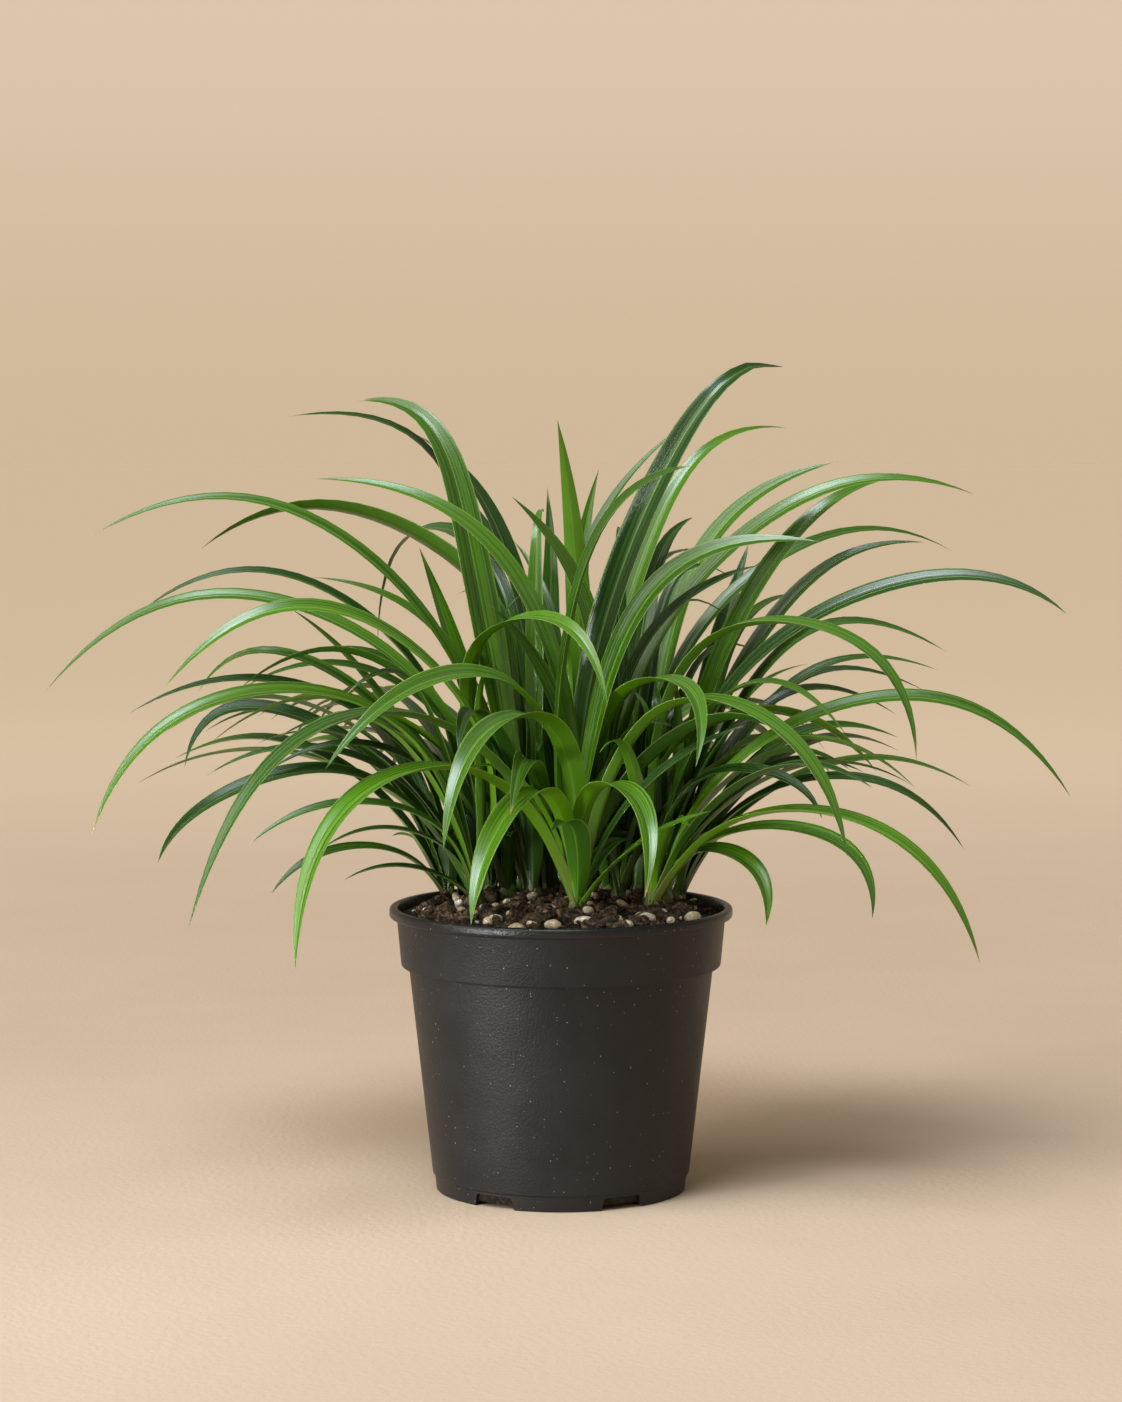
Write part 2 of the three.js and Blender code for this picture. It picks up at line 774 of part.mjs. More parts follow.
/** Every leaf of every shoot: the listed ones first, then the spare ones, then the inner ones. */
function growLeaves() {
  const taken = SHOOTS.map(sheathBead);
  const leaves = [];
  const keep = (placed) => {
    if (placed) {
      leaves.push(placed.leaf);
      taken.push(...placed.beads);
    }
  };
  SHOOTS.forEach((shoot) => shoot.leaves.forEach((row) => keep(placeListed(shoot, row, taken))));
  sow(SPARE.seed);
  SHOOTS.forEach((shoot) => {
    for (let n = 0; n < shoot.spare[0]; n += 1) {
      keep(placeByRule(shoot, spareRule(shoot), taken));
    }
  });
  SHOOTS.forEach((shoot) => {
    for (let n = 0; n < shoot.inner; n += 1) {
      keep(placeByRule(shoot, INNER, taken));
    }
  });
  return leaves;
}

// ---------------------------------------------------------------- assembly

const plant = new THREE.Group();
const two = (n) => String(n + 1).padStart(2, '0');

plant.add(piece('pot', makePot(), FINISH.pot));

const spots = stoneSpots();
let soil = soilBlock();
SHOOTS.forEach((shoot) => {
  soil = soil.subtract(sheath(shoot, GAP));
});
spots.forEach((spot) => {
  soil = soil.subtract(stone(spot, GAP));
});
plant.add(piece('soil', soil, FINISH.soil));

spots.forEach((spot, n) => plant.add(piece(`stone_${two(n)}`, stone(spot, 0), FINISH.stone)));

const leaves = growLeaves();
SHOOTS.forEach((shoot, n) => {
  const own = leaves.filter((leaf) => leaf.shoot === shoot);
  const whole = own.reduce((solid, leaf) => solid.add(blade(leaf)), sheath(shoot, 0));
  plant.add(piece(`shoot_${two(n)}`, mainBody(whole), FINISH.shoot));
});

export default plant;
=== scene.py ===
# %% [markdown]
# # Lily turf in a black nursery pot
#
# The plant is a clump of strap leaves that arch out of flattened shoots. It stands in bark soil in a
# moulded black pot. The frame holds the plain solids at their real size. This lesson gives each of
# them its finished surface: the pot, the soil and its crumbs, the pebbles, and the leaves.

# %% Load the frame
import math

import bmesh
import bpy
import numpy as np
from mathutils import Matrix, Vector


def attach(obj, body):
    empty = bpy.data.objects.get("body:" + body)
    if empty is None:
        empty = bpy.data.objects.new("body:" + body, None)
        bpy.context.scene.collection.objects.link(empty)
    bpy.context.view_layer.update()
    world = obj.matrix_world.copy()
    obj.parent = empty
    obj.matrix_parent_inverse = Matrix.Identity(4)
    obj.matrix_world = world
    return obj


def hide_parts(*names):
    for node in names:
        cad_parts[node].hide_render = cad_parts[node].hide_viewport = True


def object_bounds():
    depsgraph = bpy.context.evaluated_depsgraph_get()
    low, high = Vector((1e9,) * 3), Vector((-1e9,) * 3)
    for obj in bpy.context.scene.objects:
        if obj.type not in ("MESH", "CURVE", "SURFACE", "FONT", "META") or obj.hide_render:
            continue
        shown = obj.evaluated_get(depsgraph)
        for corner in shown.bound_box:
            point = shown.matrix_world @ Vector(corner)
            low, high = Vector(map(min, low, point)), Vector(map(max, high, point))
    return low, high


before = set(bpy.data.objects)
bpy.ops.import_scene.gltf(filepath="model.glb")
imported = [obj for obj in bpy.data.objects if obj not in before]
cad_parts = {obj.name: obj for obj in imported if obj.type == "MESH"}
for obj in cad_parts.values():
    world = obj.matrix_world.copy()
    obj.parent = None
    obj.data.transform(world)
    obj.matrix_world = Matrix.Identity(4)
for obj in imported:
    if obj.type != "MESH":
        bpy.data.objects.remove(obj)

MM = 0.001  # one millimetre in Blender's metres
CAD_BOX = [list(corner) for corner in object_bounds()]
print("the frame's box, mm:", [round((high - low) / MM, 1) for low, high in zip(*CAD_BOX)])

# %% [markdown]
# ## Camera
#
# The object is seen from a little above the leaves, from about two metres, with a long lens. A long
# lens keeps the pot's sides from leaning. The camera comes first, so that every later step can be
# judged in its frame.

# %% Camera
LENS = 89.26  # mm, on the 36 mm that Blender gives the long side
CAMERA_AT = (0, -1.911, 0.4138)
LOOK_DOWN = math.radians(4.29)


def add_object(name, data):
    """An object in the scene that holds a camera, a mesh or a lamp."""
    made = bpy.data.objects.new(name, data)
    bpy.context.collection.objects.link(made)
    return made


camera = add_object("camera", bpy.data.cameras.new("camera"))
camera.data.lens = LENS
camera.location = CAMERA_AT
camera.rotation_euler = (math.pi / 2 - LOOK_DOWN, 0, 0)
bpy.context.scene.camera = camera
print("camera distance, mm:", round(-CAMERA_AT[1] / MM))

# %% [markdown]
# ## Nodes in a few words
#
# Materials and geometry trees are both built from nodes, and every node needs the same lines: add it,
# set its sockets, link it. So one helper does all three, and the short ones after it name the nodes
# that return most. A value and a link are given alike, because a socket takes either.


# %% Nodes
def is_socket(value):
    """Whether a value is a node's output socket."""
    return isinstance(value, bpy.types.NodeSocket)


def fill(tree, node, inputs):
    """Fills a node's sockets. An input is a value, or another node's output socket to link from."""
    for key, value in inputs.items():
        if is_socket(value):
            tree.links.new(value, node.inputs[key])
        else:
            node.inputs[key].default_value = value


def put(tree, kind, inputs=None, **settings):
    """Adds a node."""
    made = tree.nodes.new(kind)
    for key, value in settings.items():
        setattr(made, key, value)
    fill(tree, made, inputs or {})
    return made


def math_node(tree, operation, *values):
    """The output of a Math node on values or sockets."""
    return put(tree, "ShaderNodeMath", dict(enumerate(values)), operation=operation).outputs[0]


def times(tree, *values):
    """The product of two values or sockets."""
    return math_node(tree, "MULTIPLY", *values)


def ramp(tree, value, low, high, form="SMOOTHSTEP"):
    """0 at low and 1 at high."""
    return put(tree, "ShaderNodeMapRange", {
        "Value": value, "From Min": low, "From Max": high}, interpolation_type=form).outputs["Result"]


def noise(tree, place, scale, detail, roughness=0.5):
    """The outputs of a noise texture."""
    return put(tree, "ShaderNodeTexNoise", {
        "Vector": place, "Scale": scale, "Detail": detail, "Roughness": roughness}).outputs


# %% Node groups
FLOAT, VECTOR = "NodeSocketFloat", "NodeSocketVector"


def tree_with(name, kind, inputs, outputs):
    """A node group with named sockets: the tree, its given values and its result node."""
    tree = bpy.data.node_groups.new(name, kind)
    for socket, (form, value) in inputs.items():
        made = tree.interface.new_socket(name=socket, in_out="INPUT", socket_type=form)
        if value is not None:
            made.default_value = value
    for socket, form in outputs.items():
        tree.interface.new_socket(name=socket, in_out="OUTPUT", socket_type=form)
    print("tree:", name, "inputs:", ", ".join(inputs))
    return tree, tree.nodes.new("NodeGroupInput").outputs, tree.nodes.new("NodeGroupOutput")


# %% [markdown]
# ## Shader groups
#
# Two effects return in several finishes. `mottle` gives uneven patches of tone at a chosen size.
# `grain` gives a fine relief and the pale flecks that sit in it. Each is built once and placed in a
# material with its own values.

# %% Group: mottle
mottle, given, result = tree_with(
    "mottle", "ShaderNodeTree",
    {"Place": (VECTOR, None), "Scale": (FLOAT, 40.0), "Sharpness": (FLOAT, 0.5)}, {"Mask": FLOAT})
patches = noise(mottle, given["Place"], given["Scale"], 5.0, 0.6)["Fac"]
low = times(mottle, given["Sharpness"], 0.5)
high = math_node(mottle, "SUBTRACT", 1.0, low)
fill(mottle, result, {"Mask": ramp(mottle, patches, low, high)})

# %% Group: grain
BARE = 0.8  # share of the cells that hold no fleck

grain, given, result = tree_with(
    "grain", "ShaderNodeTree",
    {"Place": (VECTOR, None), "Scale": (FLOAT, 900.0), "Fleck Scale": (FLOAT, 500.0),
     "Fleck Size": (FLOAT, 0.1)}, {"Height": FLOAT, "Flecks": FLOAT})
fine = noise(grain, given["Place"], given["Scale"], 3.0, 0.55)["Fac"]
cells = put(grain, "ShaderNodeTexVoronoi", {
    "Vector": given["Place"], "Scale": given["Fleck Scale"]}).outputs
chosen = put(grain, "ShaderNodeSeparateColor", {"Color": cells["Color"]}).outputs
near = math_node(grain, "LESS_THAN", cells["Distance"],
                 times(grain, given["Fleck Size"], chosen["Green"]))
some = math_node(grain, "GREATER_THAN", chosen["Red"], BARE)
fill(grain, result, {"Height": fine, "Flecks": times(grain, near, some)})


# %% Start of a material
def new_material(name):
    """A material, its node tree, its Principled shader and the Object coordinates."""
    material = bpy.data.materials.new(name)
    material.use_nodes = True
    tree = material.node_tree
    place = put(tree, "ShaderNodeTexCoord").outputs["Object"]
    print("finish:", name)
    return material, tree, tree.nodes["Principled BSDF"], place


def use_group(tree, group, place, **values):
    """The outputs of a shader group placed in a material."""
    made = tree.nodes.new("ShaderNodeGroup")
    made.node_tree = group
    fill(tree, made, {"Place": place, **{key.replace("_", " "): value for key, value in values.items()}})
    return made.outputs


def blend_colours(tree, mask, first, second):
    """Colour that goes from first to second as the mask goes from 0 to 1."""
    first, second = (colour if is_socket(colour) else (*colour, 1) for colour in (first, second))
    mix = put(tree, "ShaderNodeMix", {"Factor": mask, 6: first, 7: second}, data_type="RGBA")
    return mix.outputs[2]


def wash(tree, under, mask, strength, colour):
    """A colour laid over another, at some strength, where the mask is."""
    return blend_colours(tree, times(tree, mask, strength), under, colour)


def add_relief(tree, shader, height, distance, strength=1.0, below=None):
    """Feeds a height to the shader's normal through a Bump node."""
    inputs = {"Height": height, "Distance": distance, "Strength": strength}
    if below is not None:
        inputs["Normal"] = below
    normal = put(tree, "ShaderNodeBump", inputs).outputs["Normal"]
    fill(tree, shader, {"Normal": normal})
    return normal


# %% [markdown]
# ## Meshes from rings
#
# Most of the meshes start as points in millimetres, in rings, one above another, with faces between
# each ring and the next. Blender's own unit is the metre, so one helper converts them all. Another
# merges doubles and turns the faces outwards, because a turned shape can come out inside out.


# %% Meshes
def make_object(name, points, faces, edges=()):
    """An object whose mesh holds these points, in millimetres."""
    mesh = bpy.data.meshes.new(name)
    mesh.from_pydata((np.asarray(points, float) * MM).tolist(), list(edges), list(faces))
    mesh.update()
    return add_object(name, mesh)


def ring_faces(rings, sides):
    """Faces between each ring of points and the next."""
    return [[row * sides + side, row * sides + (side + 1) % sides,
             (row + 1) * sides + (side + 1) % sides, (row + 1) * sides + side]
            for row in range(rings - 1) for side in range(sides)]


def shade(mesh, smooth=True):
    """Shades every face smooth or flat."""
    mesh.polygons.foreach_set("use_smooth", [smooth] * len(mesh.polygons))


def finish_mesh(piece, smooth=True):
    """Merges doubles, points the faces outwards and shades them."""
    work = bmesh.new()
    work.from_mesh(piece.data)
    bmesh.ops.remove_doubles(work, verts=work.verts, dist=0.002 * MM)
    bmesh.ops.recalc_face_normals(work, faces=work.faces)
    work.to_mesh(piece.data)
    work.free()
    shade(piece.data, smooth)
    print(piece.name, "faces:", len(piece.data.polygons))


# %% [markdown]
# ## Pot
#
# The real pot is one injection moulding: a tapered body, a straight collar that a stack of pots rests
# on, and a rolled lip. A turned outline gives all of it. The outline is the frame's own, with rounded
# corners in place of its facets. The drainage notches repeat round the foot, so a geometry tree sets
# one cutter on each of their places and cuts them in one Boolean.

# %% Pot outline
POT = {
    "height": 157, "lip_radius": 95, "lip_height": 5.5, "mouth_radius": 90.5,
    "collar_top_radius": 90.9, "collar_foot_radius": 88.4, "collar_foot": 124.5,
    "body_top_radius": 84.2, "skirt_top": 9, "skirt_top_radius": 71.3, "skirt_radius": 70.3,
    "foot_radius": 69.6, "wall": 1.8, "floor": 2.2,
}
NEARLY_HALF = 0.48  # of an edge, which a rounded corner may take from each end


def rounded(corners, steps=5):
    """An outline of (r, z, radius) corners, each rounded by an arc-like curve of that radius."""
    outline = []
    for n, (r, z, radius) in enumerate(corners):
        here = np.array([r, z], float)
        if radius == 0 or n in (0, len(corners) - 1):
            outline.append(here)
            continue
        before = np.array(corners[n - 1][:2]) - here
        after = np.array(corners[n + 1][:2]) - here
        start = here + before * min(radius / np.linalg.norm(before), NEARLY_HALF)
        end = here + after * min(radius / np.linalg.norm(after), NEARLY_HALF)
        for share in np.linspace(0, 1, steps):
            outline.append((1 - share) ** 2 * start + 2 * share * (1 - share) * here + share ** 2 * end)
    return np.array(outline)


def pot_outline():
    """The pot's section, out from the middle of the underside, up, over the lip and down inside."""
    p = POT
    wall, lip_foot = p["wall"], p["height"] - p["lip_height"]
    return rounded([
        (0, 0, 0),
        (p["foot_radius"], 0, 0.8),
        (p["skirt_radius"], p["skirt_top"] - 0.6, 0.3),
        (p["skirt_top_radius"], p["skirt_top"], 0.3),
        (p["body_top_radius"], p["collar_foot"] - 1, 0.6),
        (p["body_top_radius"] + 0.2, p["collar_foot"] - 0.4, 0.3),
        (p["collar_foot_radius"], p["collar_foot"], 1.0),
        (p["collar_top_radius"], lip_foot - 0.3, 0.8),
        (p["lip_radius"] - 0.7, lip_foot, 0.9),
        (p["lip_radius"], lip_foot + 0.9, 0.8),
        (p["lip_radius"], p["height"], 2.2),
        (p["mouth_radius"], p["height"], 1.4),
        (p["collar_top_radius"] - wall, lip_foot - 3, 1.0),
        (p["collar_foot_radius"] - wall, p["collar_foot"] + 2, 1.5),
        (p["body_top_radius"] - wall, p["collar_foot"] - 2, 1.5),
        (p["skirt_top_radius"] - wall, p["skirt_top"], 1.0),
        (p["foot_radius"] - wall, p["floor"], 1.5),
        (0, p["floor"], 0),
    ])


# %% Turned pot
POT_SIDES = 192


def turned(name, outline, sides):
    """A closed skin turned from an outline that starts and ends on the axis."""
    angles = np.linspace(0, 2 * math.pi, sides, endpoint=False)
    ring = np.stack([np.cos(angles), np.sin(angles)], 1)
    middle = outline[1:-1]
    points = [[r * x, r * y, z] for r, z in middle for x, y in ring]
    faces = ring_faces(len(middle), sides)
    for row, (r, z) in ((0, outline[0]), (len(middle) - 1, outline[-1])):
        points.append([0, 0, z])
        for side in range(sides):
            faces.append([row * sides + side, row * sides + (side + 1) % sides, len(points) - 1])
    return make_object(name, points, faces)


pot_blank = turned("pot_blank", pot_outline(), POT_SIDES)
finish_mesh(pot_blank)
print("pot outline points:", len(pot_outline()))

# %% Notch cutter
NOTCH = {"count": 6, "turn": -1.5, "width": 25.4, "top_width": 22, "height": 7, "inner": 52,
         "corner": 1.6}


def notch_cutter():
    """A wedge-sided block that lies along +X, with rounded top corners."""
    half, top = NOTCH["width"] / 2, NOTCH["top_width"] / 2
    outline = rounded([(-half, -1, 0), (-top, NOTCH["height"], NOTCH["corner"]),
                       (top, NOTCH["height"], NOTCH["corner"]), (half, -1, 0)], steps=6)
    count = len(outline)
    points = [[x, y, z] for x in (NOTCH["inner"], POT["lip_radius"]) for y, z in outline]
    faces = [[n, (n + 1) % count, count + (n + 1) % count, count + n] for n in range(count)]
    faces += [list(range(count))[::-1], list(range(count, 2 * count))]
    return make_object("notch_cutter", points, faces)


cutter = notch_cutter()
finish_mesh(cutter, smooth=False)

# %% [markdown]
# A geometry tree runs as a modifier. Its inputs are set by the sockets' identifiers, because their
# names aren't keys. The evaluated result is then taken as a plain mesh, and the modifier goes.

# %% Geometry trees
INTEGER, GEOMETRY = "NodeSocketInt", "NodeSocketGeometry"
OBJECT, MATERIAL = "NodeSocketObject", "NodeSocketMaterial"


def geo(tree, kind, inputs=None, **settings):
    """The first output of a geometry node."""
    return put(tree, "GeometryNode" + kind, inputs, **settings).outputs[0]


def geometry_tree(name, inputs):
    """A geometry tree that takes geometry and a finish beside its own inputs."""
    return tree_with(name, "GeometryNodeTree", {
        "Geometry": (GEOMETRY, None), **inputs, "Finish": (MATERIAL, None)}, {"Geometry": GEOMETRY})


def end_tree(tree, geometry, given, result):
    """Gives the geometry its finish and hands it out."""
    fill(tree, result, {"Geometry": geo(tree, "SetMaterial", {
        "Geometry": geometry, "Material": given["Finish"]})})


def grow(source, name, tree, **values):
    """Runs a geometry tree on an object and returns its result as a plain mesh object."""
    values = {key.replace("_", " "): value for key, value in values.items()}
    modifier = source.modifiers.new(name, "NODES")
    modifier.node_group = tree
    for item in tree.interface.items_tree:
        if item.in_out == "INPUT" and item.name in values:
            modifier[item.identifier] = values[item.name]
    bpy.context.view_layer.update()
    evaluated = source.evaluated_get(bpy.context.evaluated_depsgraph_get())
    mesh = bpy.data.meshes.new_from_object(evaluated)
    source.modifiers.remove(modifier)
    print(name, "faces:", len(mesh.polygons))
    return add_object(name, mesh)


def combine(tree, **parts):
    """A vector from its X, Y and Z."""
    return put(tree, "ShaderNodeCombineXYZ", parts).outputs[0]


# %% Tree: notches round the foot
notches, given, result = geometry_tree("notches_round_foot", {
    "Cutter": (OBJECT, None), "Count": (INTEGER, 6), "Turn": (FLOAT, 0.0)})
places = geo(notches, "Points", {"Count": given["Count"]})
share = math_node(notches, "DIVIDE", geo(notches, "InputIndex"), given["Count"])
angle = math_node(notches, "MULTIPLY_ADD", share, 2 * math.pi, given["Turn"])
block = put(notches, "GeometryNodeObjectInfo", {"Object": given["Cutter"]}).outputs["Geometry"]
set_out = geo(notches, "InstanceOnPoints", {
    "Points": places, "Instance": block, "Rotation": combine(notches, Z=angle)})
solid = geo(notches, "RealizeInstances", {"Geometry": set_out})
cut = geo(notches, "MeshBoolean", {"Mesh 1": given["Geometry"], "Mesh 2": solid},
          operation="DIFFERENCE", solver="EXACT")
end_tree(notches, cut, given, result)

# %% [markdown]
# ## Black moulded plastic
#
# Nursery pots are polypropylene with carbon black. The mould's spark-eroded face leaves an even fine
# grain, and handling leaves dust flecks and faint pale smears. The lip is smoother than the wall. The
# charcoal tone comes from a rough, slightly lifted black, not from a grey.

# %% Pot plastic
LIP_FROM, LIP_TO = 150.5 * MM, 153 * MM  # heights between which the wall turns into the smooth lip
DUST_TO, DUST_FROM = 45 * MM, 2 * MM  # heights between which the dust at the foot fades


def split(tree, vector):
    """The X, Y and Z of a vector."""
    return put(tree, "ShaderNodeSeparateXYZ", {"Vector": vector}).outputs


def plus(tree, base, mask, strength):
    """The base, and some strength more where the mask is."""
    return math_node(tree, "MULTIPLY_ADD", mask, strength, base)


pot_plastic, tree, shader, place = new_material("pot_plastic")
height = split(tree, place)["Z"]
skin = use_group(tree, grain, place, Scale=750.0, Fleck_Scale=560.0, Fleck_Size=0.19)
smears = use_group(tree, mottle, place, Scale=22.0, Sharpness=0.75)["Mask"]
lip = ramp(tree, height, LIP_FROM, LIP_TO, "LINEAR")
foot = ramp(tree, height, DUST_TO, DUST_FROM, "LINEAR")
dust = plus(tree, times(tree, smears, 0.35), foot, 0.25)
black = blend_colours(tree, dust, (0.0065, 0.0065, 0.0075), (0.016, 0.0155, 0.0155))
fill(tree, shader, {
    "Base Color": wash(tree, black, skin["Flecks"], 0.8, (0.32, 0.30, 0.28)),
    "Roughness": plus(tree, plus(tree, 0.42, smears, 0.08), lip, -0.16),
    "Specular IOR Level": 0.36})
add_relief(tree, shader, skin["Height"], 0.3 * MM, strength=0.8)

# %% Pot with its notches
SHARP = math.radians(32)  # faces that meet at more than this keep a sharp edge

pot = grow(pot_blank, "nursery_pot", notches, Cutter=cutter, Count=NOTCH["count"],
           Turn=math.radians(NOTCH["turn"]), Finish=pot_plastic)
for helper in (pot_blank, cutter):
    bpy.data.objects.remove(helper)
shade(pot.data)
pot.data.set_sharp_from_angle(angle=SHARP)

# %% [markdown]
# ## Soil
#
# Potting bark settles about five millimetres under the rim and heaps a little in the middle. The
# block under it fills the pot, as the frame's solid does, so that the drainage notches show soil. Only
# its top is fine: a polar grid whose height is worked out from a sum of waves at several sizes.

# %% Soil heights
SOIL = {"edge": 151.6, "mound": 5, "rings": 64, "sides": 176, "wall": [2.5, 9, 122.5, 127],
        "seed": 11, "calm_edge": 5, "rough": 0.55}
CLOD_LENGTHS = (23, 15, 11, 7.5, 5.2, 3.6, 2.4)  # mm, from crest to crest
STEEP = 0.032  # height of a wave as a share of its length
GAP = 0.3  # mm between the soil and the wall


def soil_height(r):
    """Height of the smooth soil surface at a distance r from the axis, in mm."""
    outer = POT["collar_top_radius"] - POT["wall"]
    return SOIL["edge"] + SOIL["mound"] * (1 - (np.asarray(r, float) / outer) ** 2)


def soil_radius(z):
    """Radius of the pot's inner wall, less the gap, at height z."""
    p, slope = POT, POT["wall"] + GAP
    heights = [p["floor"] + GAP, p["skirt_top"], p["collar_foot"] - 2, p["collar_foot"] + 2,
               p["height"] - p["lip_height"] - 3, p["height"] - 1.2]
    radii = [p["foot_radius"] - slope, p["skirt_top_radius"] - slope, p["body_top_radius"] - slope,
             p["collar_foot_radius"] - slope, p["collar_top_radius"] - slope, p["mouth_radius"] - GAP]
    return float(np.interp(z, heights, radii))


def clods(x, y, random):
    """Uneven ground: waves of random heading, the shorter ones lower."""
    ground = np.zeros_like(x)
    for length in CLOD_LENGTHS:
        for _ in range(4):
            heading, phase = random.uniform(0, 2 * math.pi, 2)
            across = x * math.cos(heading) + y * math.sin(heading)
            ground += STEEP * length * np.sin(2 * math.pi * across / length + phase)
    return ground


# %% Soil block
def soil_block():
    """The closed block of soil, fine on top and plain at the wall."""
    random = np.random.default_rng(SOIL["seed"])
    edge, sides = soil_radius(SOIL["edge"]), SOIL["sides"]
    angles = np.linspace(0, 2 * math.pi, sides, endpoint=False)
    rings = [np.stack([soil_radius(z) * np.cos(angles), soil_radius(z) * np.sin(angles),
                       np.full_like(angles, z)], 1) for z in SOIL["wall"]]
    radii = edge * (1 - np.arange(SOIL["rings"]) / SOIL["rings"])
    r, a = np.meshgrid(radii, angles, indexing="ij")
    x, y = r * np.cos(a), r * np.sin(a)
    calm = np.clip((edge - r) / SOIL["calm_edge"], 0, 1)
    z = soil_height(r) + SOIL["rough"] * calm * clods(x, y, random)
    rings += list(np.stack([x, y, z], 2))
    points = np.concatenate(rings).tolist() + [[0, 0, float(soil_height(0))], [0, 0, SOIL["wall"][0]]]
    faces = ring_faces(len(rings), sides)
    last = (len(rings) - 1) * sides
    for side in range(sides):
        after = (side + 1) % sides
        faces.append([last + side, last + after, len(points) - 2])
        faces.append([after, side, len(points) - 1])
    return make_object("potting_soil", points, faces)


soil = soil_block()
finish_mesh(soil)

# %% [markdown]
# ## Soil finish
#
# Damp bark compost is nearly black to red-brown, with some dry, paler fibres. Two mottles at different
# sizes mix three browns, and a rough relief breaks the light. The pale brown goes where the smaller
# mottle raises the relief. It is partly the dry fibres and partly a painted highlight on the raised
# bits, and the hollows between are left darker as painted shade.


# %% Soil material
def bark_material(name, dark, brown, pale, relief):
    """A dark crumbly finish from three browns."""
    material, tree, shader, place = new_material(name)
    broad = use_group(tree, mottle, place, Scale=130.0, Sharpness=0.75)["Mask"]
    small = use_group(tree, mottle, place, Scale=420.0, Sharpness=0.75)["Mask"]
    body = use_group(tree, grain, place, Scale=1400.0, Fleck_Scale=420.0, Fleck_Size=0.25)
    # the pale brown follows the mask that raises the relief: dry fibres, and a painted highlight on the
    # raised bits with painted shade in the hollows
    browns_with_painted_highlight = wash(tree, blend_colours(tree, broad, dark, brown), small, 0.55, pale)
    fill(tree, shader, {"Base Color": wash(tree, browns_with_painted_highlight, body["Flecks"], 0.4, (0.22, 0.15, 0.09)),
                        "Roughness": 0.82, "Specular IOR Level": 0.35})
    fibres = add_relief(tree, shader, body["Height"], 0.3 * MM)
    add_relief(tree, shader, small, relief * MM, below=fibres)
    return material


soil_bark = bark_material(
    "soil_bark", (0.004, 0.0025, 0.0018), (0.016, 0.009, 0.005), (0.06, 0.035, 0.018), 0.9)
clod_bark = bark_material(
    "clod_bark", (0.003, 0.002, 0.0014), (0.024, 0.013, 0.007), (0.26, 0.155, 0.078), 1.5)
soil.data.materials.append(soil_bark)

# %% [markdown]
# ## Litter on the soil
#
# The surface is a litter of clods, bark chips, crumbs and white perlite. All of them are one thing to
# make: a rough lump, set at random on the soil, turned, sized and half sunk. One geometry tree does
# it, with the sizes and the count as its named inputs. Noise read at each point's own place gives
# every lump another shape once the instances are real.

# %% Tree: litter
OPEN_GROUND = 0.15  # m, above which a face of the soil block is its top
MOST_TURN = (0.7, 0.7, 6.283)  # lumps tip a little and turn right round


def vector_node(tree, operation, inputs):
    """The outputs of a Vector Math node."""
    return put(tree, "ShaderNodeVectorMath", inputs, operation=operation).outputs


def any_vector(low, high, seed):
    """A vector drawn anew for each lump."""
    return put(litter, "FunctionNodeRandomValue", {0: low, 1: high, "Seed": seed},
               data_type="FLOAT_VECTOR").outputs[0]


litter, given, result = geometry_tree("litter", {
    "Reach": (FLOAT, 0.08), "Apart": (FLOAT, 0.006), "Density": (FLOAT, 4000.0),
    "Smallest": (VECTOR, (0.002,) * 3), "Largest": (VECTOR, (0.005,) * 3), "Sunk": (FLOAT, 0.0),
    "Rough": (FLOAT, 0.4), "Rough Scale": (FLOAT, 200.0), "Detail": (INTEGER, 2),
    "Seed": (INTEGER, 1)})
spot = geo(litter, "InputPosition")
spot_xyz = split(litter, spot)
radius = vector_node(litter, "LENGTH", {0: combine(litter, X=spot_xyz["X"], Y=spot_xyz["Y"])})["Value"]
inside = math_node(litter, "LESS_THAN", radius, given["Reach"])
on_top = math_node(litter, "GREATER_THAN", spot_xyz["Z"], OPEN_GROUND)
strewn = geo(litter, "DistributePointsOnFaces", {
    "Mesh": given["Geometry"], "Selection": times(litter, inside, on_top),
    "Distance Min": given["Apart"], "Density Max": given["Density"], "Seed": given["Seed"]},
    distribute_method="POISSON")
later_seed = math_node(litter, "ADD", given["Seed"], 5.0)
lumps = geo(litter, "InstanceOnPoints", {
    "Points": strewn,
    "Instance": geo(litter, "MeshIcoSphere", {"Radius": 1.0, "Subdivisions": given["Detail"]}),
    "Rotation": any_vector((0.0, 0.0, 0.0), MOST_TURN, given["Seed"]),
    "Scale": any_vector(given["Smallest"], given["Largest"], later_seed)})
real = geo(litter, "RealizeInstances", {"Geometry": lumps})
bumps = noise(litter, spot, given["Rough Scale"], 2.0)["Color"]
centred = vector_node(litter, "SUBTRACT", {0: bumps, 1: (0.5, 0.5, 0.5)})[0]
strength = times(litter, vector_node(litter, "LENGTH", {0: given["Largest"]})["Value"], given["Rough"])
push = vector_node(litter, "SCALE", {0: centred, 3: strength})[0]
drop = combine(litter, Z=times(litter, given["Sunk"], -1.0))
shaped = geo(litter, "SetPosition", {
    "Geometry": real, "Offset": vector_node(litter, "ADD", {0: push, 1: drop})[0]})
end_tree(litter, geo(litter, "SetShadeSmooth", {"Geometry": shaped}), given, result)

# %% [markdown]
# ## Pebbles and perlite finishes
#
# The stones among the bark are buff to grey, worn and dusty, with soil in their pits. Perlite is
# off-white and chalky. A broad mottle gives each stone its own tone, so that no two match.


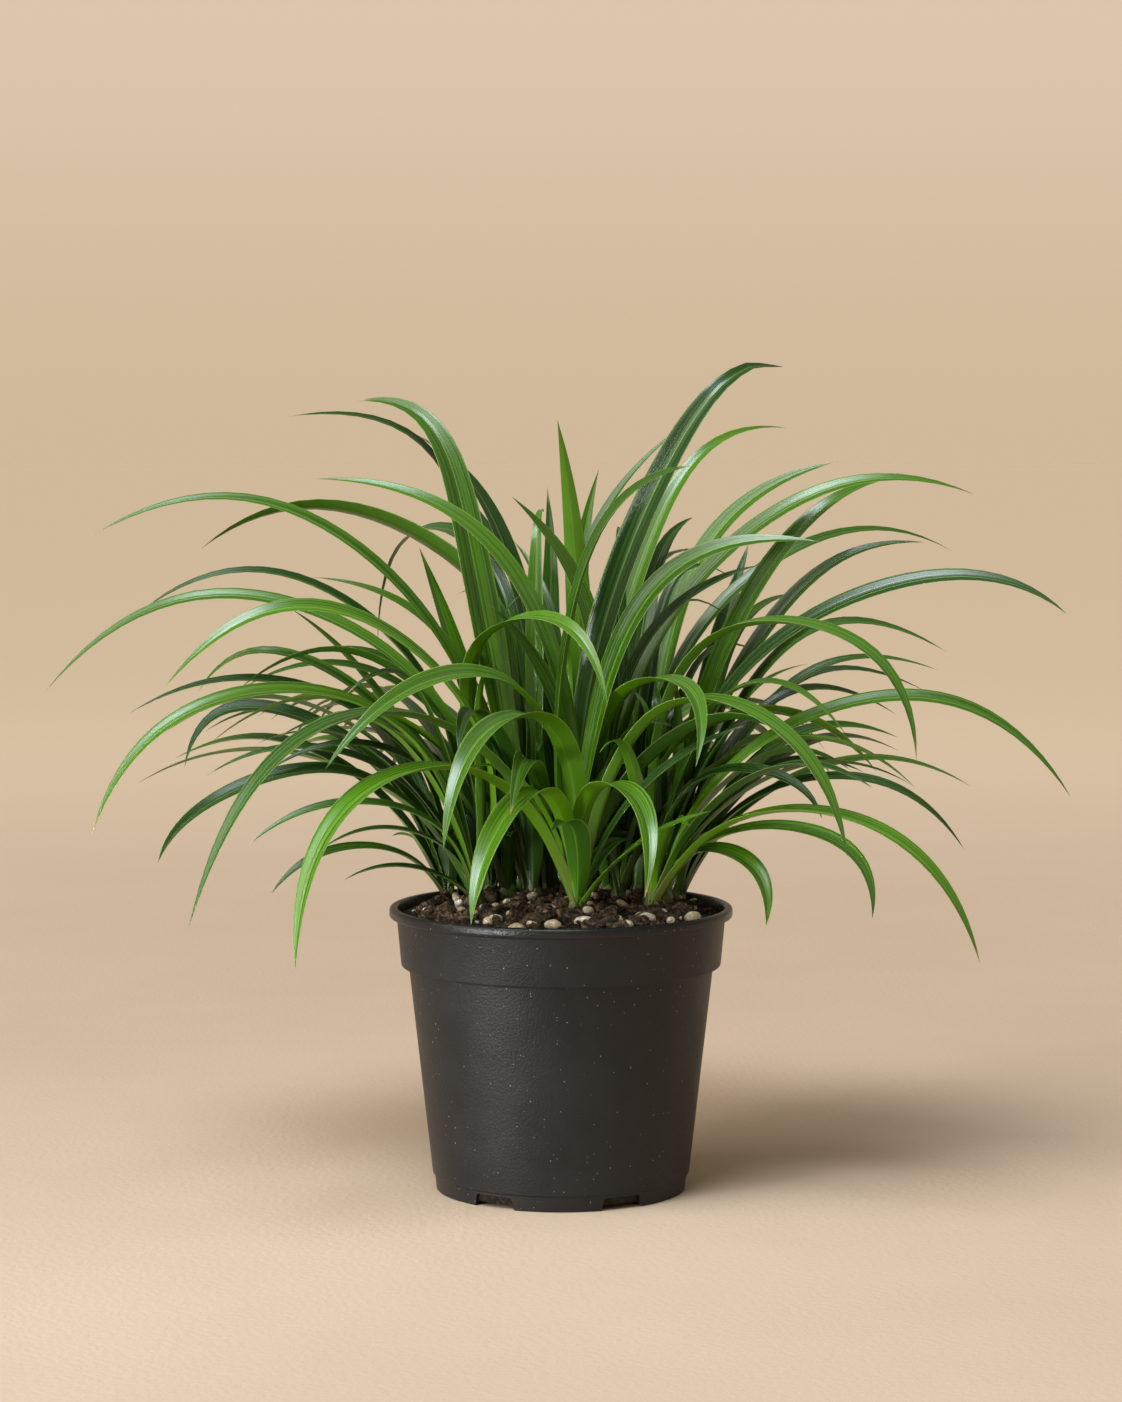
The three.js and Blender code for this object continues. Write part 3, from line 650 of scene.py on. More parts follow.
# %% Stone materials
def stone_material(name, warm, cool, dirt, patch_scale):
    """A dull mineral finish between two tones, with soil in its hollows."""
    material, tree, shader, place = new_material(name)
    broad = use_group(tree, mottle, place, Scale=patch_scale, Sharpness=0.7)["Mask"]
    pits = use_group(tree, mottle, place, Scale=430.0, Sharpness=0.85)["Mask"]
    body = use_group(tree, grain, place, Scale=1100.0, Fleck_Scale=500.0, Fleck_Size=0.3)
    tone = blend_colours(tree, broad, warm, cool)
    fill(tree, shader, {"Base Color": wash(tree, tone, pits, dirt, (0.07, 0.04, 0.022)),
                        "Roughness": 0.75})
    worn = add_relief(tree, shader, pits, -0.4 * MM)
    add_relief(tree, shader, body["Height"], 0.35 * MM, below=worn)
    return material


pebble_finish = stone_material("pebble_finish", (0.68, 0.50, 0.31), (0.66, 0.60, 0.50), 0.38, 45.0)
perlite_finish = stone_material("perlite_finish", (0.62, 0.55, 0.45), (0.7, 0.66, 0.58), 0.35, 90.0)

# %% Litter in five sorts
SORTS = {
    "bark_clods": dict(
        Reach=0.079, Apart=0.0108, Density=9000.0, Smallest=(0.005, 0.004, 0.0032),
        Largest=(0.0095, 0.0072, 0.0056), Sunk=-0.0003, Rough=0.66, Rough_Scale=230.0, Detail=3,
        Seed=3, Finish=clod_bark),
    "bark_chips": dict(
        Reach=0.083, Apart=0.006, Density=14000.0, Smallest=(0.0018, 0.0009, 0.0005),
        Largest=(0.0058, 0.0022, 0.0012), Sunk=-0.0006, Rough=0.5, Rough_Scale=420.0, Detail=2,
        Seed=8, Finish=clod_bark),
    "soil_crumbs": dict(
        Reach=0.0865, Apart=0.0022, Density=120000.0, Smallest=(0.0005,) * 3,
        Largest=(0.0017, 0.0014, 0.0012), Sunk=-0.0002, Rough=0.7, Rough_Scale=900.0, Detail=1,
        Seed=21, Finish=soil_bark),
    "perlite": dict(
        Reach=0.085, Apart=0.017, Density=5000.0, Smallest=(0.0007,) * 3,
        Largest=(0.0019, 0.0016, 0.0015), Sunk=-0.0011, Rough=0.6, Rough_Scale=800.0, Detail=2,
        Seed=31, Finish=perlite_finish),
    "small_pebbles": dict(
        Reach=0.083, Apart=0.017, Density=5000.0, Smallest=(0.002, 0.0017, 0.0014),
        Largest=(0.0046, 0.0038, 0.0031), Sunk=-0.0024, Rough=0.22, Rough_Scale=260.0, Detail=3,
        Seed=43, Finish=pebble_finish),
}

strewn_pieces = {name: grow(soil, name, litter, **values) for name, values in SORTS.items()}

# %% [markdown]
# ## Worn stones
#
# The larger stones are solids of the frame, and each keeps its place. A copy of the frame's mesh is
# merged, because it comes as loose triangles, then subdivided until it is round, and pushed inwards
# here and there, so that it never grows past the solid.

# %% Stones from the frame
WEAR, UNEVEN = 0.16, 0.05  # mm that the surface is worn in, and how much that varies
WEAR_WAVES = [(1.1, 0.4, 0.3), (0.3, 1.3, 0.5), (0.5, 0.2, 1.5), (1.9, 1.1, 0.2), (0.4, 1.8, 1.6)]


def worn_stone(node):
    """A finer stone in the place of a frame's stone."""
    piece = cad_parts[node].copy()
    piece.data = piece.data.copy()
    piece.name = f"worn_{node}"
    bpy.context.collection.objects.link(piece)
    work = bmesh.new()
    work.from_mesh(piece.data)
    bmesh.ops.remove_doubles(work, verts=work.verts, dist=0.01 * MM)
    for _ in range(2):
        bmesh.ops.subdivide_edges(work, edges=work.edges, cuts=1, use_grid_fill=True, smooth=0.0)
        bmesh.ops.smooth_vert(work, verts=work.verts, factor=0.5, use_axis_x=True, use_axis_y=True,
                              use_axis_z=True)
    work.normal_update()
    points = np.array([v.co for v in work.verts]) / MM
    waves = sum(np.sin(points @ np.array(axis) + n) for n, axis in enumerate(WEAR_WAVES))
    for vert, wave in zip(work.verts, waves):
        vert.co -= vert.normal * (WEAR + UNEVEN * wave) * MM
    work.to_mesh(piece.data)
    work.free()
    shade(piece.data)
    piece.data.materials.clear()
    piece.data.materials.append(pebble_finish)
    return piece


stone_nodes = sorted(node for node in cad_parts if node.startswith("stone_"))
stones = {node: worn_stone(node) for node in stone_nodes}
print("stones:", len(stones))

# %% [markdown]
# ## Where each leaf runs
#
# A leaf's line starts in its sheath, passes through two points and ends at its tip. The points of the
# listed leaves, and the rule for the rest, are the same as in the frame's solids. So each fine leaf
# lies along its solid. Where two leaves would touch, one slides along its line of sight until it is
# clear, by the same moves in the same order. The short young leaves and the sprouts come last. They
# close the view between the stalks, and the frame has no solids for them.

# %% Shoots and their listed leaves
# A leaf: x and z of two points on it, x, y and z of its tip, its width, and its roll in degrees.
# `spare`: how many more leaves, their heading, its spread, and their size.
SHOOTS = [
    {"at": (9, -25), "turn": 10, "spare": (0, 270, 60, 1), "inner": 1, "leaves": [
        (9, 186, 5, 208, -5, -75, 207, 14, 0),
        (21, 228, 39, 226, 43, -135, 179, 13, 0),
        (-12, 226, -34, 209, -46, -150, 167, 15, 0),
        (-12, 265, -37, 263, -60, -150, 205, 16, 0),
        (-54, 238, -102, 230, -135, -160, 145, 16, 5),
        (-74, 265, -118, 266, -190, -150, 166, 16, 5),
        (73, 275, 114, 262, 146, -150, 202, 15, 5),
        (28, 183, 50, 202, 80, -70, 217, 8, 26),
        (28, 203, 56, 236, 99, -50, 261, 9, 32),
        (19, 254, 54, 336, 140, -30, 359, 15, 45),
        (10, 305, 33, 369, 72, -10, 400, 15, 45),
    ]},
    {"at": (8, 6), "turn": 75, "spare": (2, 60, 120, 0.9), "inner": 2, "leaves": [
        (-33, 284, -71, 286, -122, -120, 244, 13, 32),
        (40, 281, 62, 283, 70, -110, 244, 13, 5),
        (8, 220, -7, 278, -39, -40, 326, 13, 34),
        (2, 268, -41, 359, -133, -30, 393, 12, 42),
        (14, 241, 7, 317, -27, -5, 383, 12, 38),
        (59, 399, 88, 442, 127, 80, 458, 17, 48),
    ]},
    {"at": (51, -8), "turn": -20, "spare": (4, -12, 30, 0.7), "inner": 1, "leaves": [
        (78, 190, 102, 185, 110, -60, 154, 11, 26),
        (95, 200, 148, 197, 167, -60, 158, 11, 26),
        (86, 233, 122, 231, 139, -70, 213, 10, 26),
        (114, 212, 185, 199, 219, -110, 141, 13, 10),
        (107, 315, 159, 304, 185, -110, 247, 14, 10),
        (115, 251, 203, 273, 276, -40, 221, 12, 32),
        (139, 317, 213, 340, 271, -50, 321, 14, 38),
    ]},
    {"at": (-47, 14), "turn": 25, "spare": (5, 188, 32, 0.72), "inner": 1, "leaves": [
        (-75, 174, -99, 176, -122, 20, 168, 7, 10),
        (-67, 189, -97, 199, -134, 0, 187, 7, 10),
        (-74, 204, -126, 214, -170, -30, 194, 8, 26),
        (-136, 232, -184, 220, -217, -50, 187, 12, 29),
        (-119, 272, -200, 267, -250, -70, 204, 13, 26),
        (-54, 268, -131, 323, -211, -60, 283, 13, 34),
        (-85, 241, -158, 280, -239, 10, 263, 10, 26),
        (-77, 278, -182, 328, -284, 0, 276, 11, 34),
    ]},
    {"at": (32, 22), "turn": 40, "spare": (5, 30, 70, 0.95), "inner": 2, "leaves": [
        (28, 234, 48, 303, 107, -20, 346, 14, 45),
        (88, 347, 161, 390, 229, 20, 384, 13, 38),
    ]},
    {"at": (-16, 32), "turn": 5, "spare": (5, 150, 70, 1), "inner": 2, "leaves": [
        (-34, 245, -49, 267, -55, -60, 248, 13, 10),
        (-31, 312, 0, 315, 25, -60, 272, 12, 26),
        (-58, 361, -84, 424, -119, 90, 436, 17, 48),
    ]},
    {"at": (66, 38), "turn": 60, "spare": (5, 12, 38, 0.8), "inner": 1, "leaves": [
        (85, 205, 125, 233, 170, 30, 228, 8, 26),
        (114, 216, 175, 224, 223, 0, 188, 9, 26),
        (93, 211, 137, 248, 192, 60, 245, 11, 26),
        (90, 226, 130, 269, 191, 60, 258, 9, 26),
        (90, 242, 140, 306, 217, 40, 295, 10, 29),
        (117, 309, 156, 347, 203, 30, 357, 12, 38),
        (103, 318, 146, 374, 191, 60, 393, 13, 38),
    ]},
    {"at": (-64, 46), "turn": -50, "spare": (5, 172, 38, 0.8), "inner": 1, "leaves": [
        (-93, 182, -132, 183, -162, 10, 161, 8, 26),
        (-84, 216, -140, 241, -199, 30, 226, 8, 26),
        (-121, 245, -186, 263, -210, 20, 232, 12, 38),
        (-114, 272, -170, 295, -205, 40, 271, 10, 29),
        (-90, 296, -163, 340, -236, 20, 317, 10, 27),
    ]},
    {"at": (-40, 48), "turn": 80, "spare": (4, 160, 50, 0.92), "inner": 2, "leaves": [
        (-63, 220, -108, 244, -162, 10, 231, 9, 26),
        (-53, 237, -107, 284, -179, 30, 275, 9, 26),
        (-55, 228, -94, 287, -157, 60, 289, 9, 26),
        (-80, 233, -114, 283, -154, 60, 319, 8, 26),
        (-77, 314, -164, 378, -263, 30, 360, 11, 32),
        (-51, 324, -81, 405, -155, 60, 427, 10, 32),
    ]},
    {"at": (44, 56), "turn": 15, "spare": (4, 30, 45, 0.9), "inner": 1, "leaves": [
        (94, 229, 143, 282, 215, 70, 283, 9, 26),
        (93, 229, 141, 278, 211, 90, 269, 8, 26),
        (82, 214, 107, 263, 146, 140, 282, 7, 10),
        (79, 226, 100, 299, 141, 120, 324, 8, 26),
        (119, 343, 169, 362, 226, 100, 350, 10, 29),
        (56, 264, 91, 364, 157, 60, 402, 15, 45),
        (73, 226, 92, 299, 110, 110, 356, 13, 32),
        (46, 305, 60, 354, 77, 120, 369, 13, 32),
        (54, 226, 62, 293, 72, 130, 349, 8, 0),
    ]},
    {"at": (4, 58), "turn": -35, "spare": (4, 90, 90, 1), "inner": 2, "leaves": [
        (10, 244, 9, 330, -2, 20, 425, 13, 0),
        (-25, 331, -49, 387, -82, 70, 417, 13, 38),
        (6, 256, 16, 351, 75, 110, 425, 9, 10),
        (-1, 243, -9, 322, -28, 110, 356, 9, 10),
    ]},
    {"at": (-18, 68), "turn": 20, "spare": (3, 100, 60, 1), "inner": 2, "leaves": [
        (-71, 353, -123, 375, -202, 40, 353, 13, -42),
        (-42, 251, -72, 305, -142, 70, 336, 10, 29),
        (-64, 362, -93, 353, -109, 150, 292, 10, 30),
        (-12, 236, -6, 316, -8, 110, 387, 12, 0),
        (-37, 211, -60, 288, -82, 100, 352, 13, 26),
        (-19, 231, -28, 299, -53, 110, 350, 12, 26),
        (-15, 245, -32, 327, -65, 130, 391, 9, 10),
    ]},
    {"at": (20, 72), "turn": -10, "spare": (6, 72, 60, 1), "inner": 1, "leaves": [
        (16, 239, 10, 321, 22, 110, 397, 12, 0),
        (50, 351, 81, 405, 132, 130, 421, 11, 32),
    ]},
    {"at": (-46, 62), "turn": 55, "spare": (6, 125, 60, 1), "inner": 1, "leaves": []},
    {"at": (-30, 31), "turn": 15, "spare": (1, 200, 70, 0.72), "inner": 4, "leaves": []},
    {"at": (-7, 45), "turn": 60, "spare": (1, 100, 170, 0.85), "inner": 4, "leaves": []},
    {"at": (26, 46), "turn": -25, "spare": (1, 50, 120, 0.85), "inner": 4, "leaves": []},
    {"at": (58, 17), "turn": 30, "spare": (2, -10, 70, 0.65), "inner": 3, "leaves": []},
]

# %% Rules for placing leaves
EYE = np.array([0.0, -1911.0, 414.0])  # mm, where the lines of sight start
SHEATH = {"sunk": 13, "height": 11, "long": 5.8, "short": 4.4, "root_height": 4, "root_out": 3,
          "bead_at": 0.4, "bead_reach": 0.75}
# Thick and clear are mm. The rest are shares: of the half width, of the step between beads and, for
# near, of the length.
BLADE = {"thick": 1.4, "fold": 0.34, "beads": 12, "bead_reach": 0.6, "clear": 0.6, "near": 0.2}
# Shares of the full width at the base and gained above it, shares of the length that fill out and that
# taper, and how late the point narrows.
OUTLINE = {"base": 0.42, "gain": 0.58, "full": 0.55, "point": 0.45, "taper": 1.9}
# How high a plain arch rises for its length, how far its tip droops, and where its crown stands.
ARCH = {"rise": 0.86, "lower": 0.42, "droop": 0.3, "more_droop": 0.35, "crown_out": 0.38,
        "crown_up": 1.12, "roll": 30}
SPARE = {"seed": 7, "reach": (45, 215), "length": (230, 330), "width": (9, 13), "tries": 160}
INNER = {"heading": 0, "spread": 180, "reach": (10, 90), "length": (130, 250), "width": (7, 10)}
YOUNG = {"heading": 0, "spread": 180, "reach": (3, 44), "length": (48, 160), "width": (8, 12),
         "count": 6, "tries": 40, "squeeze": 0.7}
# Sprouts beside the back shoots: the shoot's place in the list from 0, x and y of the root, lean,
# rise and width.
SPROUTS = [
    (13, -57, 58, -9, 46, 15), (13, -50, 65, 3, 58, 14), (8, -33, 72, -4, 55, 15),
    (11, -25, 75, 4, 48, 15), (11, -12, 77, -5, 60, 15), (10, -1, 79, 5, 52, 15),
    (12, 10, 78, -4, 58, 15), (12, 30, 73, 6, 50, 15), (9, 40, 68, -5, 56, 15),
    (9, 52, 60, 7, 52, 15),
]
SPROUT_LINE = ((0.2, 0.4), (0.5, 0.75), (1, 1))  # shares of the lean and of the rise
SPROUT_BACK = 6  # mm that a sprout leans to the back

for shoot in SHOOTS:
    shoot["base"] = float(soil_height(math.hypot(*shoot["at"])))

# %% Moves that clear a leaf
SWAYS = (0, 8, -8, 16, -16, 26, -26, 38, -38, 50, -50)  # mm that the tip goes back or forward
BOWS = (0, 6, -6, 12, -12, 20, -20, 28, -28)  # mm that the middle goes back or forward
SHIFTS = (0, 4, -4, 8, -8)  # mm that the middle goes sideways, which shows most
MOVES = sorted(((sway, bow, shift) for sway in SWAYS for bow in BOWS for shift in SHIFTS),
               key=lambda move: abs(move[0]) + abs(move[1]) + 4 * abs(move[2]))
LOW_AT, HIGH_AT = 0.28, 0.62  # shares of the way out to the tip, for the depth of the two points
FOLLOW = {"low_shift": 0.7, "low_sway": 0.2, "low_bow": 0.7, "high_sway": 0.6}
print("moves to try:", len(MOVES))

# %% [markdown]
# A leaf bends evenly in its first and last stretch, so these are parabolas, and a cubic joins them.
# Three control polygons hold the whole line. Its points are found by share of length, because veins
# and width follow the length of the leaf.


# %% Leaf lines
def bezier(controls, t):
    """Points of a quadratic or cubic curve."""
    t = np.asarray(t, float)[:, None]
    if len(controls) == 3:
        a, b, c = controls
        return (1 - t) ** 2 * a + 2 * t * (1 - t) * b + t * t * c
    a, b, c, d = controls
    return (1 - t) ** 3 * a + 3 * t * (1 - t) ** 2 * b + 3 * t * t * (1 - t) * c + t ** 3 * d


def line_through(root, first, second, tip):
    """Control polygons of the line from root to tip by way of two points."""
    h0, h1, h2 = (np.linalg.norm(b - a) for a, b in ((root, first), (first, second), (second, tip)))
    turn1 = 6 / h1 * second + (-6 / h1 - 6 / h0) * first + 6 / h0 * root
    turn2 = 6 / h2 * tip + (-6 / h2 - 6 / h1) * second + 6 / h1 * first
    whole = (3 * h0 + 2 * h1) * (2 * h1 + 3 * h2) - h1 * h1
    bend1 = (2 * h1 + 3 * h2) / whole * turn1 - h1 / whole * turn2
    bend2 = (3 * h0 + 2 * h1) / whole * turn2 - h1 / whole * turn1
    low = 0.5 * root + 0.5 * first - h0 * h0 / 4 * bend1
    high = 0.5 * second + 0.5 * tip - h2 * h2 / 4 * bend2
    rise = (1 + 2 * h1 / (3 * h0)) * first - 2 * h1 / (3 * h0) * low
    fall = (1 + 2 * h1 / (3 * h2)) * second - 2 * h1 / (3 * h2) * high
    return [(root, low, first), (first, rise, fall, second), (second, high, tip)]


def unit(vectors):
    """Vectors at length one, or nothing where there is no direction."""
    length = np.linalg.norm(vectors, axis=-1, keepdims=True)
    return vectors / np.where(length == 0, 1, length)


# %% A leaf
ARC_STEPS = 200  # chords that stand for one curve when its length is measured
ROLL_AT_ROOT, ROLL_GAINED = 0.7, 0.3  # shares of a leaf's roll
NUDGE = 1e-4  # share of the length between two points that give the line's direction


class Leaf:
    """A leaf's line, its side direction, its width and its roll."""

    def __init__(self, shoot, first, second, tip, width, roll):
        x, y = shoot["at"]
        out = np.array([tip[0] - x, tip[1] - y, 0.0])
        out /= np.linalg.norm(out)
        root = np.array([x, y, shoot["base"] + SHEATH["root_height"]]) + SHEATH["root_out"] * out
        self.shoot, self.width, self.roll = shoot, width, math.radians(roll)
        self.side = np.array([-out[1], out[0], 0.0])
        self.curves = line_through(root, first, second, tip)
        self.steps = np.linspace(0, 1, ARC_STEPS + 1)
        self.tables = []
        for controls in self.curves:
            chords = np.linalg.norm(np.diff(bezier(controls, self.steps), axis=0), axis=1)
            self.tables.append(np.concatenate([[0.0], np.cumsum(chords)]))
        self.ends = np.cumsum([table[-1] for table in self.tables])

    def point(self, share):
        """Points at shares of the leaf's length."""
        along = np.asarray(share, float) * self.ends[-1]
        which = np.minimum(np.searchsorted(self.ends, along), 2)
        points = np.empty((len(along), 3))
        for n, (controls, table) in enumerate(zip(self.curves, self.tables)):
            mine = which == n
            if mine.any():
                inside = 1 - (self.ends[n] - along[mine]) / table[-1]
                points[mine] = bezier(controls, np.interp(inside * table[-1], table, self.steps))
        return points

    def frame(self, share):
        """Centre, run, breadth and face directions at shares of the leaf's length."""
        share = np.asarray(share, float)
        along = unit(self.point(np.minimum(share + NUDGE, 1)) - self.point(np.maximum(share - NUDGE, 0)))
        flat = unit(np.cross(along, self.side))
        front = self.side * (1 if self.side[1] < 0 else -1)
        roll = (self.roll * (ROLL_AT_ROOT + ROLL_GAINED * share))[:, None]
        face = np.cos(roll) * flat + np.sin(roll) * front
        face = unit(face - (face * along).sum(1, keepdims=True) * along)
        return self.point(share), along, np.cross(face, along), face

    def half_width(self, share):
        """Narrow at the sheath, full past the middle, then a long point."""
        share, full = np.asarray(share, float), OUTLINE["full"]
        swell = OUTLINE["base"] + OUTLINE["gain"] * np.sin(math.pi / 2 * np.minimum(share / full, 1))
        past = np.maximum(share - full, 0) / OUTLINE["point"]
        taper = np.where(share < full, 1, 1 - past ** OUTLINE["taper"])
        return 0.5 * self.width * swell * taper


# %% [markdown]
# The room that a leaf takes is a row of flattened beads. Two beads are surely clear when some
# direction has a gap between them. Sheaths are single upright beads. Each bead has a centre, its axes,
# its reach along them, the shoot that it belongs to, and whether it is near the root.


# %% Beads of leaves and sheaths
def beads_of(leaf, order):
    """A leaf's beads."""
    share = (np.arange(BLADE["beads"]) + 0.5) / BLADE["beads"]
    centre, along, across, face = leaf.frame(share)
    half = leaf.half_width(share)
    rise = 0.5 * BLADE["fold"] * half
    step = leaf.ends[-1] / BLADE["beads"]
    return {
        "centre": centre + rise[:, None] * face,
        "axes": np.stack([along, across, face], 1),
        "reach": np.stack([np.full_like(half, BLADE["bead_reach"] * step), half + BLADE["clear"],
                           rise + 0.5 * BLADE["thick"] + BLADE["clear"]], 1),
        "shoot": np.full(len(share), order),
        "near": share < BLADE["near"],
    }


def sheath_beads():
    """The single upright beads of all sheaths."""
    count, wide = len(SHOOTS), SHEATH["long"] + BLADE["clear"]
    middle, reach = (SHEATH[key] * SHEATH["height"] for key in ("bead_at", "bead_reach"))
    return {
        "centre": np.array([[*shoot["at"], shoot["base"] + middle] for shoot in SHOOTS]),
        "axes": np.array([[[0.0, 0, 1], [1, 0, 0], [0, 1, 0]]] * count),
        "reach": np.array([[reach, wide, wide]] * count),
        "shoot": np.arange(count),
        "near": np.full(count, True),
    }


# %% Whether beads touch
def bead_reach(axes, reach, directions):
    """How far beads reach along directions."""
    return np.linalg.norm(np.einsum("nak,ndk->nda", axes, directions) * reach[:, None], axis=2)


def crowding(room, beads):
    """How many of these beads touch what is already in the room, roots in one sheath aside."""
    between = room["centre"][None] - beads["centre"][:, None]
    distance = np.linalg.norm(between, axis=2)
    kin = (beads["shoot"][:, None] == room["shoot"]) & (beads["near"][:, None] | room["near"])
    close = distance <= beads["reach"].max(1)[:, None] + room["reach"].max(1)
    mine, other = np.nonzero(close & ~kin)
    if len(mine) == 0:
        return 0
    gap, far = between[mine, other], distance[mine, other]
    a, b = beads["axes"][mine], room["axes"][other]
    directions = np.stack([
        gap / far[:, None], a[:, 1], a[:, 2], b[:, 1], b[:, 2],
        unit(np.cross(a[:, 0], b[:, 0])), unit(np.cross(np.cross(a[:, 0], gap), a[:, 0])),
    ], 1)
    apart = np.abs(np.einsum("nk,ndk->nd", gap, directions))
    own = bead_reach(a, beads["reach"][mine], directions)
    theirs = bead_reach(b, room["reach"][other], directions)
    touching = ~(apart > own + theirs).any(1)
    return len(np.unique(mine[touching]))


def settle(tries, order, room, squeeze):
    """The first clear leaf of those tried, or else the least crowded: it, its beads, its crowding."""
    best = None
    for leaf in tries:
        beads = beads_of(leaf, order)
        beads["reach"][:, 1:] *= squeeze
        crowded = crowding(room, beads)
        if best is None or crowded < best[2]:
            best = (leaf, beads, crowded)
        if crowded == 0:
            break
    return best


# %% Listed leaves
def deeper(x, y, z, depth):
    """A point moved away from the front along its line of sight."""
    point = np.array([x, y, z], float)
    sight = point - EYE
    return point + sight * (depth / sight[1])


def listed(shoot, row):
    """A listed leaf, in every move that may clear it, the smallest move first."""
    ax, az, bx, bz, tx, ty, tz, width, roll = row
    low_y, high_y = (shoot["at"][1] * (1 - share) + ty * share for share in (LOW_AT, HIGH_AT))
    for sway, bow, shift in MOVES:
        low_depth = FOLLOW["low_sway"] * sway + FOLLOW["low_bow"] * bow
        yield Leaf(shoot, deeper(ax + FOLLOW["low_shift"] * shift, low_y, az, low_depth),
                   deeper(bx + shift, high_y, bz, FOLLOW["high_sway"] * sway + bow),
                   deeper(tx, ty, tz, sway), width, roll)


# %% Leaves grown by rule
def draws(seed):
    """One fixed sequence of draws between 0 and 1, from the usual 32-bit congruence."""
    while True:
        seed = (seed * 1664525 + 1013904223) % 4294967296
        yield seed / 4294967296


def spare_rule(shoot):
    """How the spare leaves of a shoot grow."""
    _, heading, spread, size = shoot["spare"]
    return {"heading": heading, "spread": spread,
            "reach": [size * value for value in SPARE["reach"]],
            "length": [size * value for value in SPARE["length"]], "width": SPARE["width"]}


def by_rule(shoot, rule, draw):
    """Leaves drawn by a rule, each as one plain arch."""
    root = np.array([*shoot["at"], shoot["base"]])
    for _ in range(rule.get("tries", SPARE["tries"])):
        turn = math.radians(rule["heading"] + rule["spread"] * (2 * next(draw) - 1))
        reach = np.interp(next(draw), (0, 1), rule["reach"])
        length = np.interp(next(draw), (0, 1), rule["length"])
        height = length * (ARCH["rise"] - ARCH["lower"] * (reach / SPARE["reach"][1]))
        droop = (reach / SPARE["reach"][1]) * (ARCH["droop"] + ARCH["more_droop"] * next(draw))
        out = np.array([reach * math.cos(turn), reach * math.sin(turn), 0])
        tip = root + out + [0, 0, (1 - droop) * height]
        crown = root + ARCH["crown_out"] * out + [0, 0, ARCH["crown_up"] * height]
        first, second = bezier((root, crown, tip), (1 / 3, 2 / 3))
        width = np.interp(next(draw), (0, 1), rule["width"])
        yield Leaf(shoot, first, second, tip, width, ARCH["roll"] * (2 * next(draw) - 1))


def sprout(order, x, y, lean, rise, width):
    """A short leaf that comes up through the soil beside a shoot."""
    beside = {"at": (x, y), "base": float(soil_height(math.hypot(x, y))) - SHEATH["root_height"]}
    root = np.array([x, y, beside["base"]])
    first, second, tip = (root + [out * lean, SPROUT_BACK * out, up * rise] for out, up in SPROUT_LINE)
    leaf = Leaf(beside, first, second, tip, width, 0)
    leaf.shoot = SHOOTS[order]
    return leaf


# %% Grow every leaf
def grow_leaves():
    """Listed leaves first, front shoots before back ones, then those by rule, then the sprouts."""
    room, leaves, draw, shoots = sheath_beads(), [], draws(SPARE["seed"]), list(enumerate(SHOOTS))
    jobs = [(order, listed(shoot, row), None) for order, shoot in shoots for row in shoot["leaves"]]
    rules = [(order, shoot, spare_rule(shoot), shoot["spare"][0]) for order, shoot in shoots]
    rules += [(order, shoot, INNER, shoot["inner"]) for order, shoot in shoots]
    rules += [(order, shoot, YOUNG, YOUNG["count"]) for order, shoot in shoots]
    jobs += [(order, by_rule(shoot, rule, draw), rule)
             for order, shoot, rule, count in rules for _ in range(count)]
    for order, tries, rule in jobs:
        leaf, beads, crowded = settle(tries, order, room, rule.get("squeeze", 1) if rule else 1)
        if crowded == 0 or rule is None:  # a listed leaf stays even where it is crowded
            leaves.append(leaf)
            room = {key: np.concatenate([room[key], beads[key]]) for key in room}
    return leaves + [sprout(*row) for row in SPROUTS]


leaves = grow_leaves()
print("leaves:", len(leaves))

# %% [markdown]
# ## Blades
#
# A strap leaf is one section swept along a line: channelled like a gutter, thickest at the midrib and
# sharp at its margins. That is what a geometry tree does best. The leaf lines go in as plain edges
# that carry their width and the way they face. The tree turns them into curves, lays the section
# along them and keeps how far across and along each point is, for the veins. Near the base it lifts
# the margins, because there each leaf folds round the next.

# %% Tree: blade
CLASPING = 0.38  # share of a leaf, from its base, that is fleshier and folded deeper
GUTTER_SOFT = 0.004  # rounds the gutter's bottom
GUTTER_DEPTH = 0.063  # sets that bottom back on the leaf's line

blade, given, result = geometry_tree("blade", {
    "Fold": (FLOAT, 0.34), "Thickness": (FLOAT, 0.06), "Base Flesh": (FLOAT, 0.0006),
    "Base Fold": (FLOAT, 0.5), "Around": (INTEGER, 18)})


def carried(name, kind="FLOAT"):
    """A value that the blade's points carry."""
    return geo(blade, "InputNamedAttribute", {"Name": name}, data_type=kind)


def keep(geometry, name, value):
    """The geometry with a value stored on its points."""
    return geo(blade, "StoreNamedAttribute", {"Geometry": geometry, "Name": name, "Value": value},
               data_type="FLOAT", domain="POINT")


facing, breadth = carried("face", "FLOAT_VECTOR"), carried("half")
rails = geo(blade, "SetCurveNormal", {
    "Curve": geo(blade, "MeshToCurve", {"Mesh": given["Geometry"]}), "Normal": facing}, mode="FREE")
ring = geo(blade, "CurvePrimitiveCircle", {"Resolution": given["Around"], "Radius": 1.0})
ring_xyz = split(blade, geo(blade, "InputPosition"))
marked = keep(keep(ring, "across", ring_xyz["Y"]), "upper", ring_xyz["X"])
soft = math_node(blade, "ADD", times(blade, ring_xyz["Y"], ring_xyz["Y"]), GUTTER_SOFT)
bowl = math_node(blade, "SUBTRACT", math_node(blade, "SQRT", soft), GUTTER_DEPTH)
rise = plus(blade, times(blade, bowl, given["Fold"]), ring_xyz["X"], given["Thickness"])
section = geo(blade, "SetPosition", {
    "Geometry": marked, "Position": combine(blade, X=rise, Y=ring_xyz["Y"])})
